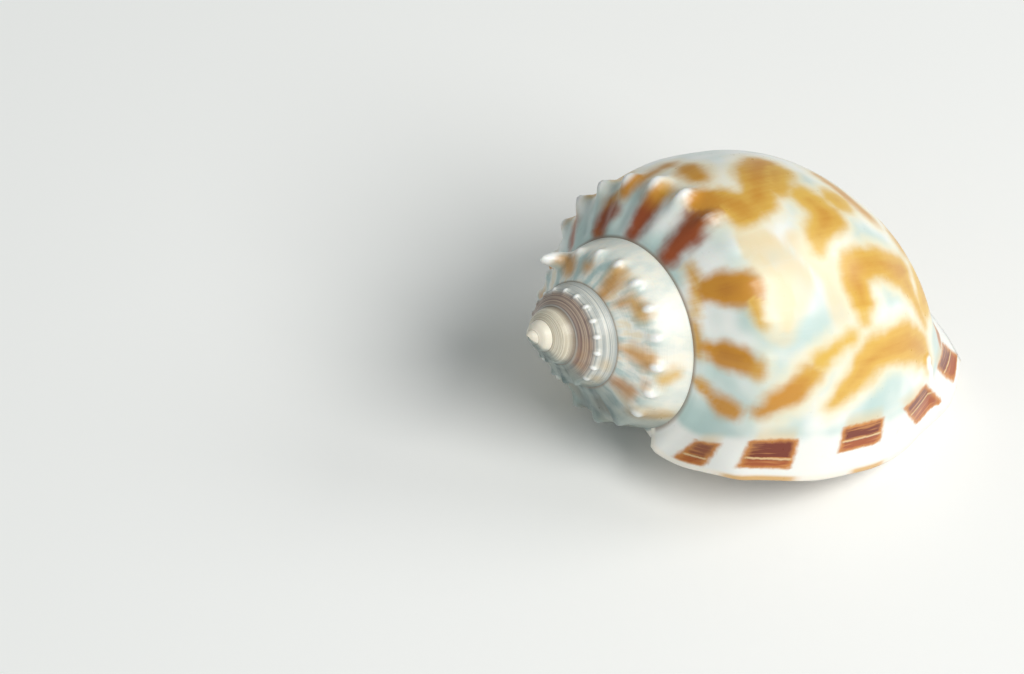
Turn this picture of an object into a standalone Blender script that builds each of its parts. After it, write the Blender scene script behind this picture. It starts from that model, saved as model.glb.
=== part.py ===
"""A bonnet shell: one closed solid, grown round a coiling axis.

The shell is worked out in its coil frame, in millimetres: the apex is at the origin, +X runs along the
coiling axis towards the canal, and an angle of 0 degrees points along +Y and 90 degrees along +Z. The
angle grows with the shell, so the outer lip is the newest shell and the apex is the oldest. Everything at
an angle A is exp(GROWTH * A) times the size that the constants give for the angle 0. At the end the coil is
turned so that the shell lies on its lip and its belly, with the apex towards -X, the lip towards -Y, and
the origin below the middle of its box.
"""

import math

import bmesh
import bpy
import numpy as np

MM = 0.001
DEGREE = math.pi / 180
TURN = 2 * math.pi

# The coil
GROWTH = 0.0952  # natural logarithm of the growth in one radian
WHORL_GROWTH = math.exp(GROWTH * TURN)  # a whorl is 1.82 times as large as the one before
LIP_END = 187 * DEGREE  # where the last suture meets the outer lip
WHORLS = 6
APEX_TIP = 0.35  # the apex lies this share of the way down to the first whorl's lower suture
APEX_ROUNDING = 0.7

# One whorl's outline at the angle 0, as (radius from the axis, depth below the apex) in millimetres
SUTURE = (14.08, 19.30)
SHOULDER = (22.3, 25.6)
NEXT_SUTURE = (SUTURE[0] * WHORL_GROWTH, SUTURE[1] * WHORL_GROWTH)
OUTLINE = [
    SUTURE,
    SHOULDER,
    (24.5, 30.6),
    NEXT_SUTURE,
    (25.8, 40.8),
    (25.5, 45.9),
    (24.3, 50.5),
    (21.9, 55.4),
    (17.2, 61.9),
    (13.3, 65.5),
]

# The outer lip: its edge leans back from the suture towards the canal, and turns outwards
LIP_MIDDLE = 154 * DEGREE
LIP_LEAN = LIP_END - LIP_MIDDLE
LIP_LEAN_REACH = 0.12  # share of the outline
LIP_LEAN_FALL = 2.7
LIP_FADE = 110 * DEGREE  # the lean has gone this far back from the edge
LIP_TIP_LEAN = 4 * DEGREE  # the edge by the canal lies further back
LIP_TIP_FROM = 0.85  # share of the outline
FLARE_AT_SUTURE = 2.6
FLARE_AT_CANAL = 2.4
FLARE_WIDTH = 4.0
FLARE_FALL = 1.5
FLARE_WHOLE_BY = 0.04  # share of the outline
TURN_UP = 2.5  # the edge near the canal turns out further
TURN_UP_FROM = 0.72  # share of the outline
TURN_UP_BY = 0.97
TURN_UP_INSIDE = 0.6  # the lip's inner edge follows this share of the turn

# Nodules and folds on the shoulder
NODULES_PER_WHORL = 18
NODULES_ADDED = 6  # on the last whorl
LAST_WHORL = -40 * DEGREE
NODULE_START = 6 * DEGREE
NODULE_HEIGHT = 1.5
NODULE_WIDTH = 0.045  # share of the outline
NODULE_POINT = 1.5
FOLD_HEIGHT = 0.5
FOLD_FROM = 0.06  # share of the outline
FOLD_FADE = 0.05
FOLDS_GROW_OVER = 20 * DEGREE
SMOOTH_FROM = 38 * DEGREE  # on the body whorl the nodules fade past this angle
SMOOTH_OVER = 25 * DEGREE
SMOOTH_SHARE = 0.15
FIRST_NODULES = LIP_END - 3.1 * TURN  # the whorls before this are smooth
NODULES_GROW_OVER = 60 * DEGREE

# The shield's outer edge: how far it keeps from the lip's end, along the outline
SHIELD_EDGE = [(0.374, 0), (0.45, 22), (0.6, 45), (0.8, 65), (1.0, 78)]  # outline share, degrees

# Where the base starts to be drawn out to the canal's rim, as a share of the outline
DRAWN_FROM = 0.85
DRAWN_FROM_BEHIND = 0.72
BEHIND_BY = 90 * DEGREE

# The canal's rim, from the lip's tip over its back and down the columella to the shield's corner
CANAL_RIM = [
    (86.3, -16.6, 10.6),
    (85.8, -12.5, 9.0),
    (84.5, -9.8, 8.5),
    (83.0, -5.5, 6.5),
    (82.0, -3.0, 2.5),
    (80.0, -3.0, -2.0),
    (76.0, -3.5, -6.0),
    (70.0, -3.0, -9.0),
    (63.0, -2.0, -10.5),
    (56.0, -1.0, -11.3),
]

# The aperture's edge. The lip's side is worked out from the lip. The inner lip runs through these points.
# Shares count round the mouth: the lip's side ends and the inner lip starts at LIP_SHARE, and the canal's
# rim ends at RIM_SHARE.
LIP_SHARE = 0.42
RIM_SHARE = 0.72
CORNER_SHARE = 0.02
CORNER_ROUNDED_BY = 0.05
LIP_ROLL = 7 * DEGREE
LIP_THICKNESS = 2.6
LIP_BULGE = 1.6
MOUTH_ON_LIP = (0.12, 0.97)  # shares of the outline
INNER_LIP = [
    (84.3, -12.3, 5.6),
    (82.8, -9.2, 3.8),
    (80.0, -9.0, 0.4),
    (75.5, -10.8, -2.2),
    (69.0, -13.6, -3.6),
    (61.5, -16.2, -4.3),
    (53.5, -18.7, -4.7),
    (46.0, -20.8, -4.8),
    (39.0, -22.2, -4.4),
    (34.0, -22.6, -3.0),
    (31.5, -22.2, -1.2),
]
SHIELD_BULGE = 2.2
SHIELD_THICKNESS = 0.8
TEETH = 11
TOOTH_HEIGHT = 0.8
TEETH_FROM = 0.08  # share of the lip's side
TEETH_TO = 0.97
TEETH_FADE = 0.1

# The hollow behind the aperture, at the angle 0, and how far back it is open
HOLLOW_ANGLE = 172 * DEGREE
HOLLOW_WALL = 1.6
HOLLOW_ON_LIP = (0.07, 0.86)
HOLLOW_COLUMELLA = [
    (5.2, 54.0),
    (4.6, 48.0),
    (5.6, 42.0),
    (7.6, 38.0),
    (10.3, 35.0),
    (12.9, 31.2),
    (14.7, 27.0),
    (15.2, 24.0),
]
HOLLOW_DEPTH = 300 * DEGREE
HOLLOW_WIDENS_BY = 45 * DEGREE
NECK_DEPTH = 40.0  # past this depth the hollow draws back, where the base has its neck
NECK_SQUEEZE = 0.45
NECK_FROM = 50 * DEGREE
NECK_TO = 140 * DEGREE
CANAL_SHARES = (0.36, 0.42, 0.54, 0.62)  # round the mouth: by the canal the edge isn't swept back

# How the shell lies
ROLL = 43.6 * DEGREE
PITCH = 17.5 * DEGREE

# Mesh steps
COLUMNS = 72  # in a whorl
WHORL_ROWS = 7
SHOULDER_ROW = 3
BASE_ROWS = 11
MOUTH_POINTS = 56
MOUTH_ROWS = 3
HOLLOW_ROWS = 12

SHELL_COLOUR = (0.78, 0.72, 0.60, 1.0)
SHELL_ROUGHNESS = 0.25


def smooth_step(x):
    """Rises from 0 to 1 as x does, level at both ends."""
    x = np.clip(x, 0, 1)
    return x * x * (3 - 2 * x)


def shares(points):
    """How far along the line each point lies, from 0 to 1."""
    lengths = np.linalg.norm(np.diff(np.asarray(points, float), axis=0), axis=1)
    return np.concatenate([[0], np.cumsum(lengths)]) / lengths.sum()


def curve_through(points, share):
    """A smooth curve through the points (cubic Hermite), read at shares of its length."""
    points = np.asarray(points, float)
    knots = shares(points)
    slopes = np.gradient(points, knots, axis=0)
    share = np.asarray(share, float)
    i = np.clip(np.searchsorted(knots, share, side="right") - 1, 0, len(knots) - 2)
    span = (knots[i + 1] - knots[i])[..., None]
    x = (share - knots[i])[..., None] / span
    near = (1 + 2 * x) * (1 - x) ** 2 * points[i] + x * (1 - x) ** 2 * span * slopes[i]
    far = x * x * (3 - 2 * x) * points[i + 1] + x * x * (x - 1) * span * slopes[i + 1]
    return near + far


NEXT_SHARE = shares(OUTLINE)[3]  # of the outline, where the next whorl's suture lies
SHOULDER_SHARE = shares(OUTLINE)[1]


def outline(share):
    """Points of the whorl's outline and the directions that point out of it."""
    step = 1e-4
    ahead = curve_through(OUTLINE, np.clip(share + step, 0, 1))
    behind = curve_through(OUTLINE, np.clip(share - step, 0, 1))
    along = ahead - behind
    out = np.stack([along[..., 1], -along[..., 0]], axis=-1)
    return curve_through(OUTLINE, share), out / np.linalg.norm(out, axis=-1, keepdims=True)


def place(angle, radius, depth):
    """A point of the coil from its angle and its size at the angle 0."""
    growth = np.exp(GROWTH * angle)
    return np.stack(
        [growth * depth, growth * radius * np.cos(angle), growth * radius * np.sin(angle)], axis=-1
    )


def sweep_back(points, back):
    """Turns points back round the axis by an angle and shrinks them as the coil does."""
    shrink = np.exp(-GROWTH * back * np.ones(points.shape[:-1]))[..., None]
    x, y, z = points[..., 0], points[..., 1], points[..., 2]
    cos, sin = np.cos(back), np.sin(back)
    return shrink * np.stack([x, y * cos + z * sin, z * cos - y * sin], axis=-1)


def lip_angle(share):
    """Angle of the outer lip's edge along the outline."""
    lean = LIP_LEAN / (1 + (share / LIP_LEAN_REACH) ** LIP_LEAN_FALL)
    tip = LIP_TIP_LEAN * smooth_step((share - LIP_TIP_FROM) / (1 - LIP_TIP_FROM))
    return LIP_MIDDLE + lean - tip


def coil_angle(back, share):
    """Angle of a point that lies back from the lip's end, with the lip's lean and the shield's edge."""
    shield = np.interp(share, *zip(*SHIELD_EDGE)) * DEGREE
    lean = (LIP_END - lip_angle(share)) * (1 - smooth_step(back / LIP_FADE))
    return LIP_END - back * (1 - shield / TURN) - lean


def ornament(angle, share):
    """Height of the nodules on the shoulder and of the folds between them and the suture."""
    crests = NODULES_PER_WHORL * (angle - NODULE_START)
    crests = crests + NODULES_ADDED * np.clip(angle - LAST_WHORL, 0, None)
    wave = 0.5 + 0.5 * np.cos(crests)
    strength = 1 - (1 - SMOOTH_SHARE) * smooth_step((angle - SMOOTH_FROM) / SMOOTH_OVER)
    strength = strength * smooth_step((angle - FIRST_NODULES) / NODULES_GROW_OVER)
    nodule = wave**NODULE_POINT * np.exp(-(((share - SHOULDER_SHARE) / NODULE_WIDTH) ** 2))
    fold = wave * smooth_step(share / FOLD_FROM)
    fold = fold * (1 - smooth_step((share - SHOULDER_SHARE) / FOLD_FADE))
    folded = smooth_step((angle - LAST_WHORL) / FOLDS_GROW_OVER)
    return strength * (NODULE_HEIGHT * nodule + FOLD_HEIGHT * fold * folded)


def turn_up(share):
    """0 along most of the lip, rising to 1 near the canal."""
    return smooth_step((share - TURN_UP_FROM) / (TURN_UP_BY - TURN_UP_FROM))


def flare(back, share):
    """How far the lip's edge turns outwards, in millimetres."""
    height = FLARE_AT_SUTURE + (FLARE_AT_CANAL - FLARE_AT_SUTURE) * share + TURN_UP * turn_up(share)
    edge = OUTLINE[4][0] * back
    width = FLARE_WIDTH + TURN_UP * turn_up(share)
    return height * np.exp(-((edge / width) ** FLARE_FALL)) * smooth_step(share / FLARE_WHOLE_BY)


def skin(back, share):
    """Outer surface of the coil, and its angles."""
    angle = coil_angle(back, share)
    line, out = outline(share)
    height = ornament(angle, share) + flare(back, share) / np.exp(GROWTH * angle)
    line = line + out * height[..., None]
    return place(angle, line[..., 0], line[..., 1]), angle


def whorl_grid():
    """Rows from suture to suture for all whorls. A whorl's first row is the last row of the one before."""
    total = WHORLS * COLUMNS
    rows = np.arange(WHORL_ROWS + 1)
    share = np.interp(rows, [0, SHOULDER_ROW, WHORL_ROWS], [0, SHOULDER_SHARE, NEXT_SHARE])
    back = np.arange(total + 1) * TURN / COLUMNS
    grid, _ = skin(*np.meshgrid(back, share, indexing="ij"))
    lower = place(LIP_END - back, np.full_like(back, NEXT_SUTURE[0]), np.full_like(back, NEXT_SUTURE[1]))
    apex = np.array([APEX_TIP * lower[total - COLUMNS // 2, 0], 0.0, 0.0])
    grown = smooth_step((total - np.arange(total + 1)) / COLUMNS) ** APEX_ROUNDING
    lower = apex + (lower - apex) * grown[:, None]
    lower[:COLUMNS] = grid[:COLUMNS, -1]
    upper = np.vstack([lower[COLUMNS:], np.repeat(apex[None], COLUMNS, axis=0)])
    down = (share / NEXT_SHARE)[None, :, None]
    return grid + (1 - down) * (upper - grid[:, 0])[:, None] + down * (lower - grid[:, -1])[:, None]


def base_grid():
    """Rows below the suture line for the last whorl, drawn out to the canal's rim."""
    share = np.linspace(NEXT_SHARE, 1, BASE_ROWS + 1)
    back = np.arange(COLUMNS + 1) * TURN / COLUMNS
    backs, all_shares = np.meshgrid(back, share, indexing="ij")
    grid, angle = skin(backs, all_shares)
    rim = curve_through(CANAL_RIM, back / TURN)
    behind = smooth_step(1 - angle[:, -1:] / BEHIND_BY)
    start = DRAWN_FROM + (DRAWN_FROM_BEHIND - DRAWN_FROM) * behind
    drawn = smooth_step((all_shares - start) / (1 - start))
    return grid + drawn[..., None] * (rim - grid[:, -1])[:, None]


def toothed_lip(on_lip):
    """Inner edge of the outer lip, from the suture (0) to the canal (1), with its teeth."""
    on_lip = np.asarray(on_lip, float)
    along = MOUTH_ON_LIP[0] + (MOUTH_ON_LIP[1] - MOUTH_ON_LIP[0]) * on_lip
    angle = lip_angle(along) + LIP_ROLL
    line, out = outline(along)
    toothed = smooth_step((on_lip - TEETH_FROM) / TEETH_FADE)
    toothed = toothed * smooth_step((TEETH_TO - on_lip) / TEETH_FADE)
    tooth = TOOTH_HEIGHT * toothed * (0.5 - 0.5 * np.cos(TEETH * TURN * on_lip))
    inwards = LIP_THICKNESS + tooth - TURN_UP_INSIDE * TURN_UP * turn_up(along)
    line = line - out * (inwards / np.exp(GROWTH * angle))[..., None]
    return place(angle, line[..., 0], line[..., 1])


def mouth_edge(share):
    """The aperture's edge, read at shares round the mouth."""
    lip_side = toothed_lip(np.clip((share - CORNER_SHARE) / (LIP_SHARE - CORNER_SHARE), 0, 1))
    past_lip = np.clip((share - LIP_SHARE) / (1 - LIP_SHARE), 0, 1)
    inner = curve_through([toothed_lip(1.0)] + INNER_LIP, past_lip)
    corner = smooth_step(share / CORNER_ROUNDED_BY)[..., None]
    lip_side = np.array(INNER_LIP[-1]) * (1 - corner) + lip_side * corner
    return np.where((share < LIP_SHARE)[..., None], lip_side, inner)


def hollow_section(share):
    """Section of the hollow, as (radius, depth) at the angle 0, read at shares round the mouth."""
    first, last = HOLLOW_ON_LIP
    along = np.append(first + (last - first) * np.clip(share / LIP_SHARE, 0, 1), HOLLOW_ON_LIP)
    line, out = outline(along)
    outer = line - out * HOLLOW_WALL
    start, end = outer[-2:]
    outer = outer[:-2]
    past_lip = np.clip((share - LIP_SHARE) / (1 - LIP_SHARE), 0, 1)
    inner = curve_through([end] + HOLLOW_COLUMELLA + [start], past_lip)
    return np.where((share < LIP_SHARE)[..., None], outer, inner)


def mouth_row(hole, hole_shares, share, across):
    """One row of the mouth between the skin's edge (across 0) and the aperture's edge (across 1)."""
    edge = np.stack([np.interp(share, hole_shares, hole[:, k]) for k in range(3)], axis=-1)
    inner = mouth_edge(share)
    row = edge + (inner - edge) * across
    arch = 4 * across * (1 - across)
    radial = row * np.array([0.0, 1.0, 1.0])
    radial = radial / np.linalg.norm(radial, axis=-1, keepdims=True)
    forward = np.cross(np.array([1.0, 0.0, 0.0]), radial)
    on_lip = smooth_step((LIP_SHARE - share) / 0.04) * smooth_step(share / 0.03)
    on_shield = smooth_step((share - LIP_SHARE - 0.12) / 0.1) * smooth_step((1 - share) / 0.06)
    thickness = SHIELD_THICKNESS * smooth_step(across / 0.12) * smooth_step((1 - across) / 0.3)
    lip = LIP_BULGE * arch * on_lip[:, None] * forward
    return row + lip + (SHIELD_BULGE * arch + thickness) * on_shield[:, None] * radial


def hollow_row(share, back):
    """One row of the hollow, swept back from the aperture's edge."""
    at_canal = smooth_step(np.interp(share, CANAL_SHARES, (0, 1, 1, 0)))
    mouth = sweep_back(mouth_edge(share), back * (1 - at_canal))
    section = hollow_section(share)
    squeeze = NECK_SQUEEZE * smooth_step((back - NECK_FROM) / (NECK_TO - NECK_FROM))
    section[:, 1] -= squeeze * np.clip(section[:, 1] - NECK_DEPTH, 0, None)
    deep = place(HOLLOW_ANGLE - back, section[:, 0], section[:, 1])
    return mouth + (deep - mouth) * smooth_step(back / HOLLOW_WIDENS_BY)


class ShellMesh:
    """Collects rows of points and the faces between them."""

    def __init__(self):
        self.points = []
        self.faces = []

    def add(self, rows):
        """Adds points and gives their numbers, in the shape of the rows."""
        first = len(self.points)
        flat = np.asarray(rows).reshape(-1, 3)
        self.points.extend(flat.tolist())
        return np.arange(first, first + len(flat)).reshape(np.asarray(rows).shape[:-1])

    def quads(self, a, b, c, d):
        """Faces between four arrays of point numbers, without those that have no area."""
        for face in zip(a.ravel(), b.ravel(), c.ravel(), d.ravel()):
            corners = [int(n) for k, n in enumerate(face) if n != face[k - 1]]
            if len(set(corners)) > 2:
                self.faces.append(corners)

    def join_loops(self, outer, inner, outer_shares, inner_shares):
        """Triangles between two closed loops with different numbers of points."""
        a = b = 0
        while a < len(outer) or b < len(inner):
            next_a = outer_shares[a + 1] if a < len(outer) else 2
            next_b = inner_shares[b + 1] if b < len(inner) else 2
            here, there = int(outer[a % len(outer)]), int(inner[b % len(inner)])
            if next_a <= next_b:
                a += 1
                self.faces.append([here, int(outer[a % len(outer)]), there])
            else:
                b += 1
                self.faces.append([here, int(inner[b % len(inner)]), there])


def shell_mesh():
    """The closed surface: whorls, base, mouth and hollow."""
    made = ShellMesh()
    whorls = whorl_grid()
    base = base_grid()
    total = WHORLS * COLUMNS

    # The whorls share their suture rows, and the first whorl closes on the apex
    apex = made.add(whorls[total, :1])[0]
    number = np.full(whorls.shape[:2], apex)
    number[:total, 1:] = made.add(whorls[:total, 1:])
    number[: total - COLUMNS, 0] = number[COLUMNS:total, -1].copy()[: total - COLUMNS]
    number[total - COLUMNS, 0] = apex
    made.quads(number[:-1, :-1], number[:-1, 1:], number[1:, 1:], number[1:, :-1])

    # The base hangs from the last whorl's lower row
    below = np.zeros(base.shape[:2], int)
    below[:, 0] = number[: COLUMNS + 1, -1]
    below[:, 1:] = made.add(base[:, 1:])
    made.quads(below[:-1, :-1], below[:-1, 1:], below[1:, 1:], below[1:, :-1])

    # The hole that is left: down the lip, round the canal's rim, and back along the shield's edge
    lip = np.concatenate([number[0], below[0, 1:]])
    rim = below[1:, -1]
    shield = below[-1, -2:0:-1]
    hole = np.concatenate([lip, rim, shield])
    points = np.array(made.points)
    parts = (
        shares(points[lip]) * LIP_SHARE,
        LIP_SHARE + shares(points[np.append(lip[-1], rim)])[1:] * (RIM_SHARE - LIP_SHARE),
        RIM_SHARE + shares(points[np.concatenate([rim[-1:], shield, lip[:1]])])[1:] * (1 - RIM_SHARE),
    )
    hole_shares = np.concatenate(parts)
    hole_points = points[np.append(hole, hole[0])]

    # The mouth's rows, then the hollow's, each a loop of the same number of points
    share = np.arange(MOUTH_POINTS) / MOUTH_POINTS
    rows = [
        mouth_row(hole_points, hole_shares, share, (k + 1) / MOUTH_ROWS) for k in range(MOUTH_ROWS)
    ]
    rows += [hollow_row(share, HOLLOW_DEPTH * (k + 1) / HOLLOW_ROWS) for k in range(HOLLOW_ROWS)]
    loops = made.add(np.array(rows))
    loops = np.hstack([loops, loops[:, :1]])
    made.join_loops(hole, loops[0, :-1], hole_shares, np.append(share, 1))
    made.quads(loops[:-1, :-1], loops[:-1, 1:], loops[1:, 1:], loops[1:, :-1])
    end = made.add(rows[-1].mean(axis=0)[None])[0]
    for here, there in zip(loops[-1, :-1], loops[-1, 1:]):
        made.faces.append([int(here), int(there), int(end)])
    return np.array(made.points), made.faces


def lay_down(points):
    """Turns the coil as the shell lies, and puts the origin below the middle of its box."""
    x, y, z = points.T
    y, z = y * math.cos(ROLL) - z * math.sin(ROLL), y * math.sin(ROLL) + z * math.cos(ROLL)
    x, z = x * math.cos(PITCH) + z * math.sin(PITCH), z * math.cos(PITCH) - x * math.sin(PITCH)
    laid = np.stack([x, y, z], axis=-1)
    low, high = laid.min(axis=0), laid.max(axis=0)
    return laid - np.array([(low[0] + high[0]) / 2, (low[1] + high[1]) / 2, low[2]])


def shell_material():
    """Glossy cream porcelain."""
    material = bpy.data.materials.new("shell")
    material.use_nodes = True
    shader = material.node_tree.nodes["Principled BSDF"]
    shader.inputs["Base Color"].default_value = SHELL_COLOUR
    shader.inputs["Roughness"].default_value = SHELL_ROUGHNESS
    shader.inputs["Metallic"].default_value = 0.0
    return material


def make_shell():
    """The one object."""
    points, faces = shell_mesh()
    mesh = bpy.data.meshes.new("shell")
    mesh.from_pydata((lay_down(points) * MM).tolist(), [], faces)
    work = bmesh.new()
    work.from_mesh(mesh)
    bmesh.ops.triangulate(work, faces=work.faces[:])
    bmesh.ops.recalc_face_normals(work, faces=work.faces[:])
    work.to_mesh(mesh)
    work.free()
    mesh.shade_smooth()
    mesh.materials.append(shell_material())
    shell = bpy.data.objects.new("shell", mesh)
    bpy.context.scene.collection.objects.link(shell)
    return shell


for old in list(bpy.data.objects):
    bpy.data.objects.remove(old)
made_shell = make_shell()
print("triangles", len(made_shell.data.polygons))
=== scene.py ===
# %% [markdown]
# # A bonnet shell
# A bonnet shell is one piece of lime that a sea snail laid down along a growing coil: a small pointed spire,
# a big last whorl with a row of nodules on its shoulder, a thick outer lip, and a porcelain shield beside
# the mouth. It could be sculpted by hand, but a shell is already a formula. So the whole surface is worked
# out here from one outline that turns and grows, and the colours are painted along the same two directions.

# %% Load the frame
import math

import bmesh
import bpy
import numpy as np
from mathutils import Matrix, Vector


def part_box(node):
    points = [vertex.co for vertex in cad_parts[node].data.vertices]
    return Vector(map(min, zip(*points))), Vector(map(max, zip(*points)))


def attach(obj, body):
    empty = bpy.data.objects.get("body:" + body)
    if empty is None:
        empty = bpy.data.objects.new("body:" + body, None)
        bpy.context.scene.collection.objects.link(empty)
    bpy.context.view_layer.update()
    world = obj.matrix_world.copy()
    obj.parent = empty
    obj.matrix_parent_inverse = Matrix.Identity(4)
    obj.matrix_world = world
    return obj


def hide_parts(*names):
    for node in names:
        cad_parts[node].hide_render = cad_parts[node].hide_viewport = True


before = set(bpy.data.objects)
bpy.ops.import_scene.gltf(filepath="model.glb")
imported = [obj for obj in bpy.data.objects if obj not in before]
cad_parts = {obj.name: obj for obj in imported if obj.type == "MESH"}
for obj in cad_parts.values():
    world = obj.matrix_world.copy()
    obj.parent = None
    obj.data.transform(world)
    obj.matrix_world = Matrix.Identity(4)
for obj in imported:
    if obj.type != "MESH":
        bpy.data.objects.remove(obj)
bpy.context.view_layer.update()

# %% [markdown]
# ## Two small tools
# Soft starts and stops are everywhere on a shell, so one S-curve is used for all of them. A smooth curve
# through a few points draws the outline and the edges. It is a cubic Hermite curve: between two points it
# follows both their places and their slopes, which keeps a line of few points free of corners.

# %% Soft steps and smooth curves
MM = 0.001
DEGREE = math.pi / 180
TURN = 2 * math.pi


def smooth_step(x):
    """Rises from 0 to 1 as x does, level at both ends: x squared times (3 - 2 x)."""
    x = np.clip(x, 0, 1)
    return x * x * (3 - 2 * x)


def bell(x):
    """1 at x = 0, falling to both sides as e to the minus x squared."""
    return np.exp(-(x**2))


def shares(points):
    """How far along the line each point lies: its length so far over the whole length."""
    lengths = np.linalg.norm(np.diff(np.asarray(points, float), axis=0), axis=1)
    return np.concatenate([[0], np.cumsum(lengths)]) / lengths.sum()


def curve_through(points, share):
    """Cubic Hermite curve: each end's point and slope, weighed by cubics of the share between them."""
    points = np.asarray(points, float)
    knots = shares(points)
    slopes = np.gradient(points, knots, axis=0)
    share = np.asarray(share, float)
    i = np.clip(np.searchsorted(knots, share, side="right") - 1, 0, len(knots) - 2)
    span = (knots[i + 1] - knots[i])[..., None]
    x = (share - knots[i])[..., None] / span
    near = (1 + 2 * x) * (1 - x) ** 2 * points[i] + x * (1 - x) ** 2 * span * slopes[i]
    far = x * x * (3 - 2 * x) * points[i + 1] + x * x * (x - 1) * span * slopes[i + 1]
    return near + far


print("the soft step at 0, a half and 1:", [float(smooth_step(x)) for x in (0, 0.5, 1)])

# %% [markdown]
# ## The coil
# A snail makes its shell a little larger with each step round its axis, always by the same share. That is a
# logarithmic spiral: size = e to the (growth x angle). One outline, drawn once for the angle 0 in
# millimetres, then gives every whorl. It runs from the suture, where the whorl starts on the one before,
# over the shoulder and the belly down to the canal.

# %% Growth and outline
GROWTH = 0.0952  # natural logarithm of the growth in one radian
WHORL_GROWTH = math.exp(GROWTH * TURN)
LIP_END = 187 * DEGREE
WHORLS = 6
SUTURE = (14.08, 19.30)  # radius from the axis and depth below the apex
SHOULDER = (22.3, 25.6)
NEXT_SUTURE = (SUTURE[0] * WHORL_GROWTH, SUTURE[1] * WHORL_GROWTH)
OUTLINE = [
    SUTURE,
    SHOULDER,
    (24.5, 30.6),
    NEXT_SUTURE,
    (25.8, 40.8),
    (25.5, 45.9),
    (24.3, 50.5),
    (21.9, 55.4),
    (17.2, 61.9),
    (13.3, 65.5),
]
NEXT_SHARE = shares(OUTLINE)[3]
SHOULDER_SHARE = shares(OUTLINE)[1]
OUTLINE_LENGTH = np.linalg.norm(np.diff(OUTLINE, axis=0), axis=1).sum()


def outline(share):
    """The outline's points, and the directions square to it: its slope turned by a quarter."""
    step = 1e-4
    ahead = curve_through(OUTLINE, np.clip(share + step, 0, 1))
    behind = curve_through(OUTLINE, np.clip(share - step, 0, 1))
    along = ahead - behind
    out = np.stack([along[..., 1], -along[..., 0]], axis=-1)
    return curve_through(OUTLINE, share), out / np.linalg.norm(out, axis=-1, keepdims=True)


def place(angle, radius, depth):
    """Coil point: growth x (depth, radius x cosine of the angle, radius x sine of the angle)."""
    growth = np.exp(GROWTH * angle)
    return np.stack(
        [growth * depth, growth * radius * np.cos(angle), growth * radius * np.sin(angle)], axis=-1
    )


def sweep_back(points, back):
    """Turns points back round the axis, and shrinks them by e to the minus growth x angle."""
    shrink = np.exp(-GROWTH * back * np.ones(points.shape[:-1]))[..., None]
    x, y, z = points[..., 0], points[..., 1], points[..., 2]
    cos, sin = np.cos(back), np.sin(back)
    return shrink * np.stack([x, y * cos + z * sin, z * cos - y * sin], axis=-1)


print("a whorl grows", round(WHORL_GROWTH, 2), "times; the outline is", round(OUTLINE_LENGTH, 1), "mm long")

# %% [markdown]
# ## The outer lip's lean
# The lip is the newest edge. It doesn't stand square to the suture: it starts late there and leans back
# towards the canal, then turns outwards as a rim. Both are functions of how far back from the edge a point
# lies, so they fade into the smooth whorl behind the lip.

# %% Lip edge and rim
LIP_MIDDLE = 154 * DEGREE
LIP_LEAN = LIP_END - LIP_MIDDLE
LIP_LEAN_REACH = 0.12
LIP_LEAN_FALL = 2.7
LIP_FADE = 110 * DEGREE
LIP_TIP_LEAN = 4 * DEGREE
LIP_TIP_FROM = 0.85
FLARE_AT_SUTURE = 2.6
FLARE_AT_CANAL = 2.4
FLARE_WIDTH = 4.0
FLARE_FALL = 1.5
FLARE_WHOLE_BY = 0.04
TURN_UP = 2.5  # more near the canal
TURN_UP_FROM = 0.72
TURN_UP_BY = 0.97
TURN_UP_INSIDE = 0.6
SHIELD_EDGE = [(0.374, 0), (0.45, 22), (0.6, 45), (0.8, 65), (1.0, 78)]


def lip_angle(share):
    """Angle of the lip's edge: the middle's angle plus a lean that falls off with the share."""
    lean = LIP_LEAN / (1 + (share / LIP_LEAN_REACH) ** LIP_LEAN_FALL)
    tip = LIP_TIP_LEAN * smooth_step((share - LIP_TIP_FROM) / (1 - LIP_TIP_FROM))
    return LIP_MIDDLE + lean - tip


def coil_angle(back, share):
    """The lip's end minus the way back, drawn together by the shield's edge and moved by the lean."""
    shield = np.interp(share, *zip(*SHIELD_EDGE)) * DEGREE
    lean = (LIP_END - lip_angle(share)) * (1 - smooth_step(back / LIP_FADE))
    return LIP_END - back * (1 - shield / TURN) - lean


def from_lip(angle, share):
    """Millimetres from the lip's edge, along the growth: radius x growth x angle that is left."""
    radius = outline(share)[0][..., 0]
    return radius * np.exp(GROWTH * lip_angle(share)) * (lip_angle(share) - angle)


def turn_up(share):
    """0 along most of the lip, rising to 1 near the canal."""
    return smooth_step((share - TURN_UP_FROM) / (TURN_UP_BY - TURN_UP_FROM))


def flare(back, share):
    """The rim's height: most at the edge, falling as e to the minus (distance over width) to the 1.5."""
    height = FLARE_AT_SUTURE + (FLARE_AT_CANAL - FLARE_AT_SUTURE) * share + TURN_UP * turn_up(share)
    edge = OUTLINE[4][0] * back
    width = FLARE_WIDTH + TURN_UP * turn_up(share)
    return height * np.exp(-((edge / width) ** FLARE_FALL)) * smooth_step(share / FLARE_WHOLE_BY)


print("the lip's edge in degrees:", np.round(lip_angle(np.linspace(0, 1, 5)) / DEGREE, 1))

# %% [markdown]
# ## Nodules, folds and the sutures' thin edge
# The shoulder carries a row of pointed nodules, about 18 to a whorl and closer on the last one, where they
# fade to faint bumps towards the lip. Low folds run from them up to the suture. Modelling each by hand would
# take hundreds of edits. Here a cosine of the angle, raised to a power, gives the row, and a bell across the
# shoulder gives each its width.

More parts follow.
